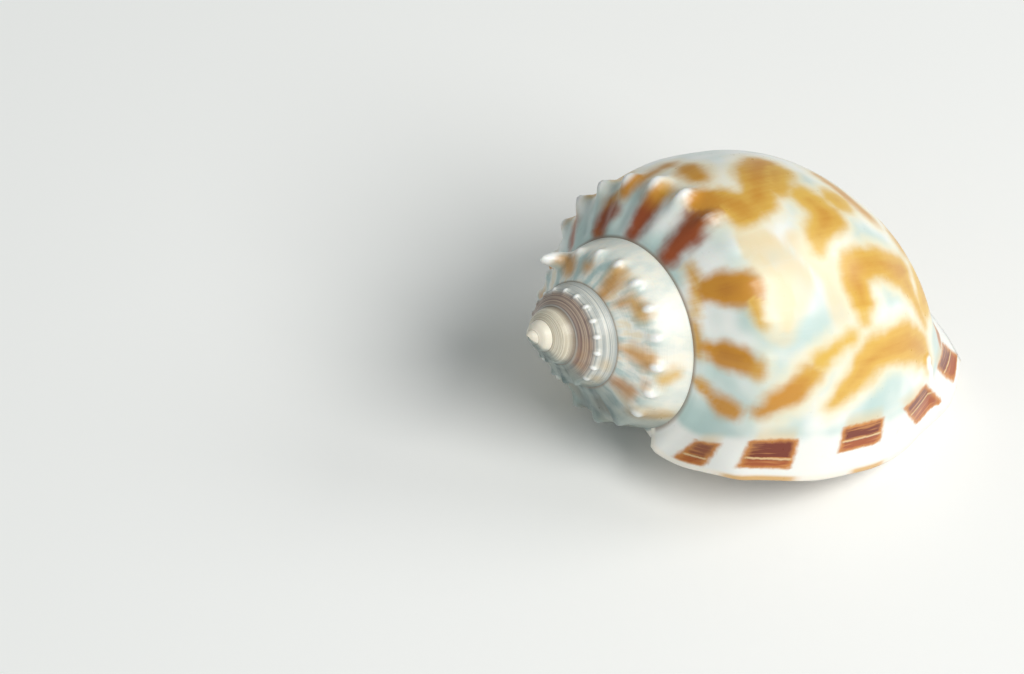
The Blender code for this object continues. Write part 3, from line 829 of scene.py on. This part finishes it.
def pale_fields(angle, share):
    """Cream, partly a painted highlight, and rim: soft steps inside their strokes and shares. White: the
    largest of three heights.

    Painted shade: a soft step of the cosine of the angle to the spire's shaded side, behind the last whorl.
    """
    inside = [0.5 + stroke_depth(angle, share, s)[0] / CREAM_AND_HIGHLIGHT_EDGE for s in CREAM_AND_HIGHLIGHT_PLACES]
    cream = [s[0][3] * smooth_step(i) for s, i in zip(CREAM_AND_HIGHLIGHT_PLACES, inside)]
    cream = np.max(cream, axis=0) * (angle > LIP_END - TURN)
    edge = from_lip(angle, share)
    rim = [smooth_step(np.minimum(share - a, b - share) / RIM_TAN_EDGE) for a, b in RIM_TAN]
    rim = np.max(rim, axis=0) * smooth_step((RIM_TAN_REACH[0] - edge) / RIM_TAN_REACH[1])
    white = np.maximum(nodules(angle, share), tongue(angle, share))
    white = np.maximum(white, LOBE_WHITE * lobe(angle, share))
    dusk = smooth_step((np.cos(angle - PAINTED_SHADE_AT) - PAINTED_SHADE_EDGE) / (1 - PAINTED_SHADE_EDGE))
    dusk = dusk * smooth_step(((LIP_END - angle) / TURN - PAINTED_SHADE_FROM[0]) / PAINTED_SHADE_FROM[1])
    return cream, rim, white, dusk


print("pale places:", len(CREAM_AND_HIGHLIGHT_PLACES), "creamy strokes and", len(RIM_TAN), "tan stretches of the rim")

# %% [markdown]
# All fields together are one array with a column for each, in the order of their names. On the skin they come
# from the formulas above. In the mouth there is no pattern, and one field says how far inside a point lies.

# %% All fields
FIELD_NAMES = ["blotch", "tone", "cream", "square", "ridge", "haze", "dark", "rim", "age", "white"]
FIELD_NAMES += ["dusk", "across", "edge", "inside"]
IN_MOUTH_EDGE = 5.0


def skin_fields(angle, share):
    """The columns on the outer skin. Age is the number of whorls back from the lip's end."""
    depth, tone = blotch_fields(angle, share)
    square, ridge, haze, dark = square_fields(angle, share)
    cream, rim, white, dusk = pale_fields(angle, share)
    haze = haze * (angle > LIP_END - TURN)
    age = (LIP_END - angle) / TURN
    edge = np.clip(from_lip(angle, share), -IN_MOUTH_EDGE, FAR_AWAY)
    fields = [depth, tone, cream, square, ridge, haze, dark, rim, age, white, dusk, share, edge]
    return np.stack([f * np.ones_like(age) for f in fields + [np.zeros_like(age)]], axis=-1)


def inner_fields(count, inside, edge):
    """The columns of a row in the mouth: no pattern, how far inside it lies, and its edge distance."""
    row = np.zeros((count, len(FIELD_NAMES)))
    values = {"blotch": NO_BLOTCH, "square": -FAR_AWAY, "ridge": FAR_AWAY, "edge": edge, "inside": inside}
    for name, value in values.items():
        row[:, FIELD_NAMES.index(name)] = value
    return row


print("fields", len(FIELD_NAMES))

# %% [markdown]
# ## One closed mesh
# Now the grids become one surface. Every grid keeps an array of point numbers, so whole blocks of faces are
# cut out of it at once. The mouth's rows have another number of points than the hole, and the two loops are
# joined like a zip: each step on one loop makes a triangle with the point that the other has reached.

# %% Faces from grids and loops
HALVES = ((0, 1, 2), (0, 2, 3))  # of a cell's four corners


def grid_faces(numbers, fields):
    """Two triangles for each cell of the grid, with the fields of their corners."""
    first, second = slice(None, -1), slice(1, None)
    cells = [(first, first), (first, second), (second, second), (second, first)]
    corners = [numbers[c].ravel() for c in cells]
    values = [fields[c].reshape(-1, fields.shape[-1]) for c in cells]
    faces = np.concatenate([np.stack([corners[k] for k in half], axis=1) for half in HALVES])
    painted = np.concatenate([np.stack([values[k] for k in half], axis=1) for half in HALVES])
    whole = (faces[:, 0] != faces[:, 1]) & (faces[:, 1] != faces[:, 2]) & (faces[:, 2] != faces[:, 0])
    return faces[whole], painted[whole]


def zip_faces(outer, inner, outer_shares, inner_shares, outer_values, inner_values):
    """Triangles between two closed loops; the apex is the point that the other loop has reached."""
    i = np.arange(len(outer))
    j = np.arange(len(inner))
    reached = np.searchsorted(inner_shares[1:], outer_shares[i + 1], side="left") % len(inner)
    first = np.stack([outer[i], outer[(i + 1) % len(outer)], inner[reached]], axis=1)
    first_values = [outer_values[i], outer_values[(i + 1) % len(outer)], inner_values[reached]]
    reached = np.searchsorted(outer_shares[1:], inner_shares[j + 1], side="right") % len(outer)
    second = np.stack([outer[reached], inner[(j + 1) % len(inner)], inner[j]], axis=1)
    second_values = [outer_values[reached], inner_values[(j + 1) % len(inner)], inner_values[j]]
    faces = np.concatenate([first, second])
    return faces, np.concatenate([np.stack(v, axis=1) for v in (first_values, second_values)])


print("a single cell makes", len(grid_faces(np.arange(4).reshape(2, 2), np.zeros((2, 2, 1)))[0]), "triangles")

# %% [markdown]
# The two outer grids share the suture of the last whorl. Each shared point is stored once, and both grids
# point to its number, so nothing has to be merged afterwards.

# %% Join the whorls and the base
def outer_surface():
    """Points of both grids, each shared one once, their faces with fields, and their fields."""
    total = WHORLS * COLUMNS
    whorl_numbers = np.zeros(whorls.shape[:2], int)
    whorl_numbers[:total, 1:] = 1 + np.arange(total * WHORL_ROWS).reshape(total, WHORL_ROWS)
    whorl_numbers[: total - COLUMNS, 0] = whorl_numbers[COLUMNS:total, -1]
    count = 1 + total * WHORL_ROWS
    base_numbers = np.zeros(base.shape[:2], int)
    base_numbers[:, 0] = whorl_numbers[: COLUMNS + 1, -1]
    base_numbers[:, 1:] = count + np.arange((COLUMNS + 1) * BASE_ROWS).reshape(COLUMNS + 1, BASE_ROWS)
    blocks = [whorls[total, :1], whorls[:total, 1:], base[:, 1:]]
    points = np.concatenate([block.reshape(-1, 3) for block in blocks])
    fields = [skin_fields(whorl_angles, whorl_shares), skin_fields(base_angles, base_shares)]
    numbers = [whorl_numbers, base_numbers]
    return points, numbers, fields, [grid_faces(*pair) for pair in zip(numbers, fields)]


outer_points, outer_numbers, outer_fields, outer_faces = outer_surface()
print("outer points", len(outer_points))

# %% [markdown]
# What stays open is the hole. Its edge runs along the lip, round the canal's rim and back along the shield.
# Each of the three gets a fixed part of the way round, so that the mouth's rows meet it at the right places.

# %% The hole's edge
def hole_edge():
    """Point numbers, fields and shares round the hole: along the lip, the canal's rim and the shield."""
    lines = []
    for whorl, low in (outer_numbers, outer_fields):
        lines.append([np.concatenate([whorl[0], low[0, 1:]]), low[1:, -1], low[-1, -2:0:-1]])
    lip, rim, shield = lines[0]
    around = [
        shares(outer_points[lip]) * LIP_SHARE,
        LIP_SHARE + shares(outer_points[np.append(lip[-1], rim)])[1:] * (RIM_SHARE - LIP_SHARE),
    ]
    back_to_lip = outer_points[np.concatenate([rim[-1:], shield, lip[:1]])]
    around.append(RIM_SHARE + shares(back_to_lip)[1:] * (1 - RIM_SHARE))
    return [np.concatenate(parts) for parts in (*lines, around)]


hole, hole_fields, hole_shares = hole_edge()
print("points round the hole", len(hole))

# %% [markdown]
# The mouth's rows close the hole, the hollow's rows go on from them, and a fan of triangles closes its end.

# %% Join the mouth and the hollow
MOUTH_POINTS = 360
MOUTH_ROWS = 12
HOLLOW_ROWS = 40
MOUTH_EDGE_STEP = 3.0  # millimetres
EDGE_INSIDE = 0.5  # the field "inside" at the aperture's edge; 1 is the hollow's end


def shell_surface():
    """Points, triangles and corner fields: the outer ones, the mouth's rows and a fan at the hollow's end."""
    share = np.arange(MOUTH_POINTS) / MOUTH_POINTS
    across = (np.arange(MOUTH_ROWS) + 1) / MOUTH_ROWS
    back = HOLLOW_DEPTH * (np.arange(HOLLOW_ROWS) + 1) / HOLLOW_ROWS
    hole_points = outer_points[np.append(hole, hole[0])]
    rows = [mouth_row(hole_points, hole_shares, share, a) for a in across]
    rows += [hollow_row(share, b) for b in back]
    deep = EDGE_INSIDE + (1 - EDGE_INSIDE) * back / HOLLOW_DEPTH
    inner = [inner_fields(MOUTH_POINTS, EDGE_INSIDE * a, -MOUTH_EDGE_STEP * a) for a in across]
    inner += [inner_fields(MOUTH_POINTS, d, -IN_MOUTH_EDGE) for d in deep]
    inner = np.array(inner)
    start = len(outer_points)
    numbers = start + np.arange(len(rows) * MOUTH_POINTS).reshape(len(rows), MOUTH_POINTS)
    closed = np.hstack([numbers, numbers[:, :1]])
    made = outer_faces + [
        zip_faces(hole, numbers[0], hole_shares, np.append(share, 1), hole_fields, inner[0]),
        grid_faces(closed, np.concatenate([inner, inner[:, :1]], axis=1)),
    ]
    fan = [closed[-1, :-1], closed[-1, 1:], np.full(MOUTH_POINTS, start + numbers.size)]
    made.append((np.stack(fan, axis=1), np.repeat(inner[-1][:, None], 3, axis=1)))
    points = np.concatenate([outer_points, np.reshape(rows, (-1, 3)), rows[-1].mean(axis=0)[None]])
    return points, *(np.concatenate(parts) for parts in zip(*made))


points, faces, corner_fields = shell_surface()
print("points", len(points), "triangles", len(faces))

# %% [markdown]
# ## How it lies
# Put down on a table, this shell tips onto its lip and its belly. The coil is rolled about its axis and then
# pitched, and set in the place of the solid that it dresses.

# %% Lay the shell down
ROLL = 43.6 * DEGREE
PITCH = 17.5 * DEGREE


def lay_down(vectors):
    """Roll about X, then pitch about Y: two rotations written out as sines and cosines."""
    x, y, z = np.moveaxis(np.asarray(vectors, float), -1, 0)
    y, z = y * math.cos(ROLL) - z * math.sin(ROLL), y * math.sin(ROLL) + z * math.cos(ROLL)
    x, z = x * math.cos(PITCH) + z * math.sin(PITCH), z * math.cos(PITCH) - x * math.sin(PITCH)
    return np.stack([x, y, z], axis=-1)


solid_low, solid_high = (np.array(corner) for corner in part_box("shell"))
laid = lay_down(points) * MM
low, high = laid.min(axis=0), laid.max(axis=0)
shift = np.append(((solid_low + solid_high) / 2 - (low + high) / 2)[:2], solid_low[2] - low[2])
laid = laid + shift
print("size in mm", np.round((high - low) / MM, 1), "shift in mm", np.round(shift / MM, 2))

# %% [markdown]
# ## The object
# The arrays go into Blender in whole blocks. Normals are made to point outwards, and each field becomes an
# attribute on the faces' corners, because at a suture two whorls meet that need their own values.

# %% Build the object
def shell_object():
    """The mesh with its fields, and a flat map of the coil: the age runs in u, the outline in v."""
    mesh = bpy.data.meshes.new("bonnet_shell")
    mesh.from_pydata(laid.tolist(), [], faces.tolist())
    values = corner_fields.reshape(-1, corner_fields.shape[-1])
    for k, name in enumerate(FIELD_NAMES):
        layer = mesh.attributes.new(name, "FLOAT", "CORNER")
        layer.data.foreach_set("value", np.ascontiguousarray(values[:, k], np.float32))
    coil = mesh.uv_layers.new(name="coil")
    age, across = values[:, FIELD_NAMES.index("age")], values[:, FIELD_NAMES.index("across")]
    coil.data.foreach_set("uv", np.stack([age, across], axis=1).astype(np.float32).ravel())
    work = bmesh.new()
    work.from_mesh(mesh)
    bmesh.ops.recalc_face_normals(work, faces=work.faces[:])
    print("open edges", sum(1 for e in work.edges if not e.is_manifold))
    work.to_mesh(mesh)
    work.free()
    mesh.shade_smooth()
    shell = bpy.data.objects.new("bonnet_shell", mesh)
    bpy.context.scene.collection.objects.link(shell)
    return shell


shell = shell_object()
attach(shell, "root")
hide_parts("shell")
print("object", shell.name, "with", len(shell.data.polygons), "faces")

# %% [markdown]
# ## Porcelain
# The surface is a hard glaze over a slightly translucent body. Its colour could be one long chain of nodes,
# which is hard to read. Here it is a table of layers instead, and a few helpers turn the table into nodes.

# %% A colour for shaders
def colour(red, green, blue):
    """A colour from 0 to 255 as the linear values that shaders use."""
    parts = np.array([red, green, blue]) / 255
    linear = np.where(parts <= 0.04045, parts / 12.92, ((parts + 0.055) / 1.055) ** 2.4)
    return (*[float(v) for v in linear], 1.0)


print("the grey 128 is", round(colour(128, 128, 128)[0], 3), "for a shader")

# %% [markdown]
# A node that is written out takes four or five lines. Each method below adds one node and joins its sockets,
# so that a material reads like a formula.

# %% A material's nodes
class Nodes:
    """Short ways to add nodes to one material."""

    def __init__(self, name):
        self.material = bpy.data.materials.new(name)
        self.material.use_nodes = True
        self.tree = self.material.node_tree
        self.shader = self.tree.nodes["Principled BSDF"]

    def add(self, kind, **inputs):
        """A new node with its inputs joined."""
        node = self.tree.nodes.new("ShaderNode" + kind)
        for name, value in inputs.items():
            self.join(value, node.inputs[name.replace("_", " ")])
        return node

    def join(self, value, socket):
        """Links a socket or sets a plain value."""
        if isinstance(value, bpy.types.NodeSocket):
            self.tree.links.new(value, socket)
        else:
            socket.default_value = value

    def field(self, name):
        """One of the mesh's fields."""
        node = self.add("Attribute")
        node.attribute_name = name
        return node.outputs["Fac"]

    def math(self, operation, a, b=0.0):
        """A sum, product or other step of two values."""
        node = self.add("Math")
        node.operation = operation
        self.join(a, node.inputs[0])
        self.join(b, node.inputs[1])
        return node.outputs[0]

    def times(self, a, b):
        """Product of two values."""
        return self.math("MULTIPLY", a, b)

    def plus(self, a, b):
        """Sum of two values."""
        return self.math("ADD", a, b)

    def around_zero(self, noise, height):
        """A noise moved to lie around 0, times a height."""
        return self.times(self.math("SUBTRACT", noise, 0.5), height)

    def ramp(self, value, start, whole):
        """0 before the start and 1 past the value where it is whole, with an S-curve between."""
        rises = start < whole
        ends = {"From_Min": min(start, whole), "From_Max": max(start, whole)}
        node = self.add("MapRange", Value=value, To_Min=float(not rises), To_Max=float(rises), **ends)
        node.interpolation_type = "SMOOTHSTEP"
        return node.outputs["Result"]

    def mix(self, share, a, b):
        """Colour a where share is 0 and b where it is 1."""
        node = self.add("Mix")
        node.data_type = "RGBA"
        for name, value in {"Factor": share, "A": a, "B": b}.items():
            self.join(value, node.inputs[name])
        return node.outputs["Result"]

    def noise(self, vector, scale, detail, rough=0.5):
        """Noise around 0.5."""
        return self.add("TexNoise", Vector=vector, Scale=scale, Detail=detail, Roughness=rough).outputs["Fac"]


# %% [markdown]
# A layer of colour lies where some maps say. The maps are the mesh's fields and noises of a few scales:
# growth lines across the whorl, spiral lines along it, and a mottle between the two. They follow the coil,
# because their coordinates are its age and share. Clouds and grain read the object's own coordinates.

# %% Noises
COIL_NOISES = {  # first field and its scale, scale of the share, detail, roughness
    "growth lines": ("age", 90.0, 2.5, 4.0, 0.65),
    "spiral lines": ("age", 1.2, 70.0, 3.0, 0.6),
    "mottle": ("age", 30.0, 6.0, 3.0, 0.5),
    "streaks": ("edge", 1.6, 9.0, 2.0, 0.5),
}
GRAINS = {"clouds": (70.0, 2.0), "waves": (170.0, 3.0), "fine": (900.0, 3.0)}  # scale and detail


def noises_and_fields(n):
    """Every field and noise by name: a coil noise is read at (field x scale, share x scale)."""
    maps = {name: n.field(name) for name in FIELD_NAMES}
    for name, (field, along, across, detail, rough) in COIL_NOISES.items():
        at = n.add("CombineXYZ", X=n.times(maps[field], along), Y=n.times(maps["across"], across))
        maps[name] = n.noise(at.outputs[0], 1.0, detail, rough)
    where = n.add("TexCoord").outputs["Object"]
    for name, (scale, detail) in GRAINS.items():
        maps[name] = n.noise(where, scale, detail)
    return maps


print("noises", [*COIL_NOISES, *GRAINS])

# %% [markdown]
# Limits say where a layer lies. Each is a map as it is, or a map with the value where the layer starts and
# the value where it is whole. Several limits are multiplied. Some maps are sums of others: a blotch's edge is
# waved by noise, and a square's edge is made ragged by the grain.

# %% Limits and joined maps
BLUE_BAND = [("edge", 7.5, 10.0), ("edge", 19.0, 13.0), ("across", 0.62, 0.45)]
BLUE_SHOULDER = [("across", 0.30, 0.12), ("edge", 30.0, 40.0)]
BLUE_SHOULDER_SHARE = 0.8
BLOTCH_WAVES = 4.0  # millimetres
BLOTCH_FEATHER = 0.9
TONE_STREAKS = 0.22
DEEPER_TONE = (0.14, ("depth", 0.5, 3.5))
# the cream patch, partly a painted highlight, is broken up by clouds
CREAM_CLOUDS = ("clouds", 0.2, 0.8)
CREAM_LEAST = 0.5
PALER_SPIRE = (0.15, ("age", 0.95, 1.05))
SQUARE_GRAIN = 0.5  # millimetres
RIDGE_GRAIN = 0.4


def limited(n, maps, strength, *limits):
    """Strength times the product of the limits."""
    share = None
    for limit in limits:
        here = maps[limit] if isinstance(limit, str) else n.ramp(maps[limit[0]], *limit[1:])
        share = here if share is None else n.times(share, here)
    return share if strength == 1 else n.times(share, strength)


def add_joined_maps(n, maps):
    """Sums and products of maps that several layers use."""
    shoulder = limited(n, maps, BLUE_SHOULDER_SHARE, *BLUE_SHOULDER)
    maps["bluish"] = n.math("MAXIMUM", limited(n, maps, 1, *BLUE_BAND), shoulder)
    maps["creamy"] = n.times(maps["cream"], n.plus(limited(n, maps, 1, CREAM_CLOUDS), CREAM_LEAST))
    waved = n.plus(maps["blotch"], n.around_zero(maps["waves"], BLOTCH_WAVES))
    maps["depth"] = n.plus(waved, n.around_zero(maps["growth lines"], BLOTCH_FEATHER))
    streaked = n.plus(maps["tone"], n.around_zero(maps["growth lines"], TONE_STREAKS))
    maps["streaked tone"] = n.plus(streaked, limited(n, maps, *DEEPER_TONE))
    maps["spire's strength"] = n.math("SUBTRACT", 1.0, limited(n, maps, *PALER_SPIRE))
    maps["ragged"] = n.plus(maps["square"], n.around_zero(maps["fine"], SQUARE_GRAIN))
    line = n.plus(maps["ridge"], n.around_zero(maps["fine"], RIDGE_GRAIN))
    maps["line"] = n.math("ABSOLUTE", line)


print("the blue band lies", BLUE_BAND[0][1], "to", BLUE_BAND[1][1], "mm from the lip's edge")

# %% [markdown]
# The colours have names, because one table of them is easier to judge and change than numbers spread over
# many nodes. They are set straight on the mixing nodes.

# %% Colours
COLOURS = {
    "pale blue": (200, 219, 214),
    "white": (249, 249, 244),
    # cream of the belly's patch, partly a painted highlight
    "cream": (239, 217, 171),
    "growth line": (236, 234, 222),
    "blue": (186, 211, 207),
    "lip white": (246, 246, 241),
    "spire blue": (180, 203, 200),
    "spire white": (246, 244, 234),
    "spire tan": (236, 212, 160),
    "cold white": (232, 236, 228),
    "warm white": (250, 246, 232),
    "grey": (168, 174, 172),
    "pale grey": (216, 216, 208),
    "purple": (132, 112, 108),
    "pale purple": (198, 178, 158),
    "horn": (196, 184, 160),
    "pale horn": (238, 231, 212),
    # painted shade on the first whorls, toward the suture below
    "brown horn": (150, 136, 120),
    "apex": (246, 238, 220),
    "halo": (245, 234, 202),
    "yellow tan": (228, 186, 88),
    "tan": (206, 144, 50),
    "brown": (152, 74, 34),
    "late lime": (250, 250, 246),
    # painted shade on the spire's flank: its dark blue and its grey
    "dusk blue": (78, 98, 97),
    "dusk grey": (134, 150, 145),
    "haze": (226, 196, 140),
    "square edge": (206, 136, 66),
    "red brown": (168, 82, 34),
    "dark brown": (122, 46, 20),
    "streak": (210, 142, 76),
    "pale square": (200, 130, 64),
    # painted highlight along the squares' ridge
    "ridge": (226, 190, 140),
    # painted shade in the sutures' crease
    "suture": (132, 112, 92),
    "rim white": (250, 244, 232),
    "rim tan": (222, 178, 116),
    "shield white": (251, 247, 239),
    "shield cream": (246, 230, 206),
    "throat": (226, 186, 146),
}
print("colours", len(COLOURS))

# %% [markdown]
# A stack is its lowest colour and the layers over it. A layer is a colour or an earlier stack, how strongly
# it covers, and its limits. These are the small stacks: the spire's whorls, the blotches' brown, the painted
# shade on the spire's flank, the squares, the rim and the mouth.

# %% Small stacks
STACKS = {
    "outer spire": ["cold white", ("warm white", 1, ("mottle", 0.35, 0.7))],
    "spire": [
        "spire blue",
        ("spire white", 1, ("mottle", 0.36, 0.60)),
        ("spire tan", 0.5, ("mottle", 0.52, 0.66)),
        ("outer spire", 0.85, ("across", 0.14, 0.24)),
    ],
    "purple band": ["purple", ("pale purple", 1, ("spiral lines", 0.35, 0.65))],
    "beaded whorl": [
        "grey",
        ("pale grey", 1, ("spiral lines", 0.35, 0.65)),
        ("purple band", 1, ("across", 0.0, 0.03), ("across", 0.20, 0.13)),
    ],
    "first whorls": [
        "horn",
        ("pale horn", 1, ("spiral lines", 0.35, 0.65)),
        # painted shade: the first whorls darker toward the suture below
        ("brown horn", 1, ("across", 0.24, 0.36)),
    ],
    "blotches": [
        "yellow tan",
        ("tan", 1, ("streaked tone", 0.0, 0.35)),
        ("brown", 1, ("streaked tone", 0.35, 0.95)),
    ],
    # painted shade on the spire's flank, mottled
    "shaded side": ["dusk blue", ("dusk grey", 1, ("mottle", 0.3, 0.65))],
    "dark square": [
        "red brown",
        ("dark brown", 1, ("ridge", -0.6, 0.6)),
        ("streak", 0.65, ("streaks", 0.50, 0.68)),
    ],
    "squares": ["pale square", ("dark square", 1, "dark")],
    "rim": ["rim white", ("rim tan", 1, "rim")],
    "mouth": [
        "shield white",
        ("shield cream", 0.8, ("clouds", 0.35, 0.7)),
        ("throat", 1, ("inside", 0.48, 0.75)),
    ],
}
print("small stacks", list(STACKS))

# %% [markdown]
# The whole shell is the last stack. It starts with the cool white ground and ends with the mouth. Where a
# limit's first value is the larger one, the layer fades out as the map rises.

# %% The whole shell's stack
STACKS["shell"] = [
    "pale blue",
    ("white", 1, ("clouds", 0.38, 0.60)),
    # cream patch: partly the shell's own cream, partly a painted highlight
    ("cream", 0.9, ("creamy", 0.12, 0.8)),
    ("growth line", 0.2, ("growth lines", 0.55, 0.75)),
    ("blue", 1, "bluish", ("clouds", 0.72, 0.38)),
    ("lip white", 1, ("edge", 9.5, 7.0)),
    ("spire", 0.9, ("age", 0.90, 1.04)),
    ("beaded whorl", 1, ("age", 1.98, 2.02)),
    ("first whorls", 1, ("age", 2.98, 3.02)),
    ("apex", 1, ("age", 3.7, 4.1)),
    ("halo", 0.8, ("depth", -4.0, -0.8), ("age", 1.2, 0.9), ("across", 0.12, 0.26)),
    ("blotches", 1, ("depth", -1.9, 1.1), ("age", 2.3, 1.9), "spire's strength"),
    ("late lime", 1, ("white", 0.3, 0.9)),
    # painted shade on the spire's flank
    ("shaded side", 0.92, "dusk"),
    ("haze", 0.75, "haze"),
    ("square edge", 1, ("ragged", -0.45, 0.1)),
    ("squares", 1, ("ragged", -0.1, 0.6)),
    # painted highlight: a pale line along each square's ridge
    ("ridge", 1, ("line", 0.3, 0.08), ("ragged", -0.1, 0.2)),
    # painted shade: a dark line in the crease just below each suture
    ("suture", 0.8, ("across", 0.014, 0.0), ("inside", 0.01, 0.0)),
    ("rim", 1, ("edge", 1.6, 0.6)),
    ("mouth", 1, ("inside", 0.02, 0.06)),
]


def shell_colour(n, maps):
    """Lays every stack's layers in turn: colour = mix of the one below and the layer's, by its share."""
    made = {name: colour(*values) for name, values in COLOURS.items()}
    for name, (paint, *layers) in STACKS.items():
        paint = made[paint]
        for top, strength, *limits in layers:
            paint = n.mix(limited(n, maps, strength, *limits), paint, made[top])
        made[name] = paint
    return made["shell"]


print("layers", sum(len(stack) - 1 for stack in STACKS.values()))

# %% [markdown]
# Last come the glaze and the relief. Growth lines everywhere, spiral lines on the spire and the squares' thin
# ridge stand a little proud. Only the fine grain changes the roughness, because the glaze is even.

# %% Glaze, relief and the material
ROUGHNESS = (0.24, 0.12)  # least, and what the grain adds
GLAZE = {
    "Coat Weight": 0.12,
    "Coat Roughness": 0.2,
    "Subsurface Weight": 0.12,
    "Subsurface Radius": (1.0, 0.7, 0.5),
    "Subsurface Scale": 0.0015,
}
RELIEF = [
    (0.35, "growth lines"),
    (0.8, ("age", 0.98, 1.02), "spiral lines"),
    (1, ("line", 0.4, 0.0), ("ragged", -0.1, 0.2)),
]
RELIEF_ENDS = ("inside", 0.06, 0.02)
RELIEF_HEIGHT = 0.0003  # metres
RELIEF_STRENGTH = 0.35


def porcelain():
    """The material: the shell's colour, the glaze's values and the sum of the relief's layers as bump."""
    n = Nodes("bonnet porcelain")
    maps = noises_and_fields(n)
    add_joined_maps(n, maps)
    n.join(shell_colour(n, maps), n.shader.inputs["Base Color"])
    n.join(n.plus(n.times(maps["fine"], ROUGHNESS[1]), ROUGHNESS[0]), n.shader.inputs["Roughness"])
    for name, value in GLAZE.items():
        n.shader.inputs[name].default_value = value
    lines, *others = (limited(n, maps, *layer) for layer in RELIEF)
    for layer in others:
        lines = n.plus(lines, layer)
    height = n.times(lines, limited(n, maps, 1, RELIEF_ENDS))
    bump = n.add("Bump", Strength=RELIEF_STRENGTH, Distance=RELIEF_HEIGHT, Height=height)
    n.join(bump.outputs["Normal"], n.shader.inputs["Normal"])
    return n.material


shell.data.materials.append(porcelain())
print("nodes in the porcelain", len(shell.data.materials[0].node_tree.nodes))

# %% [markdown]
# ## The table
# A plain pale sheet under the shell, so that nothing competes with it and its shadow is soft.

# %% Floor
FLOOR_HALF = 3.0


def floor_object():
    """A flat square around the origin, just under the shell."""
    side = np.array([-FLOOR_HALF, FLOOR_HALF])
    x, y = (g.ravel() for g in np.meshgrid(side, side, indexing="ij"))
    mesh = bpy.data.meshes.new("floor")
    mesh.from_pydata(np.stack([x, y, np.zeros(4)], axis=1).tolist(), [], [(0, 2, 3, 1)])
    pale = Nodes("pale paper")
    pale.shader.inputs["Base Color"].default_value = colour(253, 253, 252)
    pale.shader.inputs["Roughness"].default_value = 0.9
    mesh.materials.append(pale.material)
    floor = bpy.data.objects.new("floor", mesh)
    bpy.context.scene.collection.objects.link(floor)
    return floor


floor_object()
print("the floor is", 2 * FLOOR_HALF, "m wide")

# %% [markdown]
# ## Light
# Two round soft panels and a pale sky. The key stands high in front and is wide, so its reflection in the
# glaze stays soft. A weaker one on the right lifts the canal's end. The spire's left flank falls into shade,
# and painted shade in its colour darkens it further.

# %% Panels and sky
LIT_POINT = Vector((0, 0, 0.02))
SKY_COLOUR = (0.90, 0.98, 1.0, 1.0)
SKY_STRENGTH = 0.31


def panel(name, place_at, size, watts, tint):
    """A round area light that faces the shell."""
    data = bpy.data.lights.new(name, "AREA")
    data.shape = "DISK"
    data.size = size
    data.energy = watts
    data.color = tint
    light = bpy.data.objects.new(name, data)
    light.location = place_at
    light.rotation_euler = (LIT_POINT - Vector(place_at)).to_track_quat("-Z", "Y").to_euler()
    bpy.context.scene.collection.objects.link(light)


panel("key", (0.20, -0.84, 0.92), size=0.90, watts=11.8, tint=(1.0, 0.985, 0.95))
panel("side", (0.95, -0.35, 0.75), size=0.60, watts=3.2, tint=(1.0, 0.99, 0.97))
sky = bpy.data.worlds.new("sky")
sky.use_nodes = True
sky.node_tree.nodes["Background"].inputs["Color"].default_value = SKY_COLOUR
sky.node_tree.nodes["Background"].inputs["Strength"].default_value = SKY_STRENGTH
bpy.context.scene.world = sky
bpy.context.scene.view_settings.view_transform = "Standard"

# %% [markdown]
# ## Camera
# The picture was taken from far off with a long lens, looking down on the shell's back. The camera's axes
# are first written in the coil's own directions, where the view is easy to say, and then laid down with the
# shell.

# %% Camera
VIEW_TILT = 0.699  # radians, round the coil's Y
VIEW_ROLL = 0.1695
PIXEL = 0.17 * MM  # of a picture 1024 wide
PICTURE_WIDTH = 1024
FOCAL_LENGTH = 1000.0
SENSOR = 36.0
AIM = (-12.3, -0.9)  # pixels right of and above the apex
AIM_DEPTH = -20.0


def coil_view():
    """Right, up and back of the camera: the coil's axes tilted round Y, then rolled in the picture."""
    along = np.array([math.cos(VIEW_TILT), 0, math.sin(VIEW_TILT)])
    up = np.array([0.0, 1.0, 0.0])
    back = np.array([-math.sin(VIEW_TILT), 0, math.cos(VIEW_TILT)])
    cos, sin = math.cos(VIEW_ROLL), math.sin(VIEW_ROLL)
    return lay_down([along * cos - up * sin, along * sin + up * cos, back])


right, up, back = coil_view()
data = bpy.data.cameras.new("camera")
data.lens = FOCAL_LENGTH
data.sensor_width = SENSOR
data.clip_start = 0.1
data.clip_end = 50.0
distance = FOCAL_LENGTH / SENSOR * PICTURE_WIDTH * PIXEL
target = shift + right * AIM[0] * PIXEL + up * AIM[1] * PIXEL + back * AIM_DEPTH * MM
camera = bpy.data.objects.new("camera", data)
turn = Matrix([list(row) for row in np.stack([right, up, back], axis=1)]).to_4x4()
camera.matrix_world = Matrix.Translation(Vector(target + back * distance)) @ turn
bpy.context.scene.collection.objects.link(camera)
bpy.context.scene.camera = camera
looks_down = math.degrees(math.asin(back[2]))
print("the camera looks down at", round(looks_down, 1), "degrees from", round(distance, 2), "m")
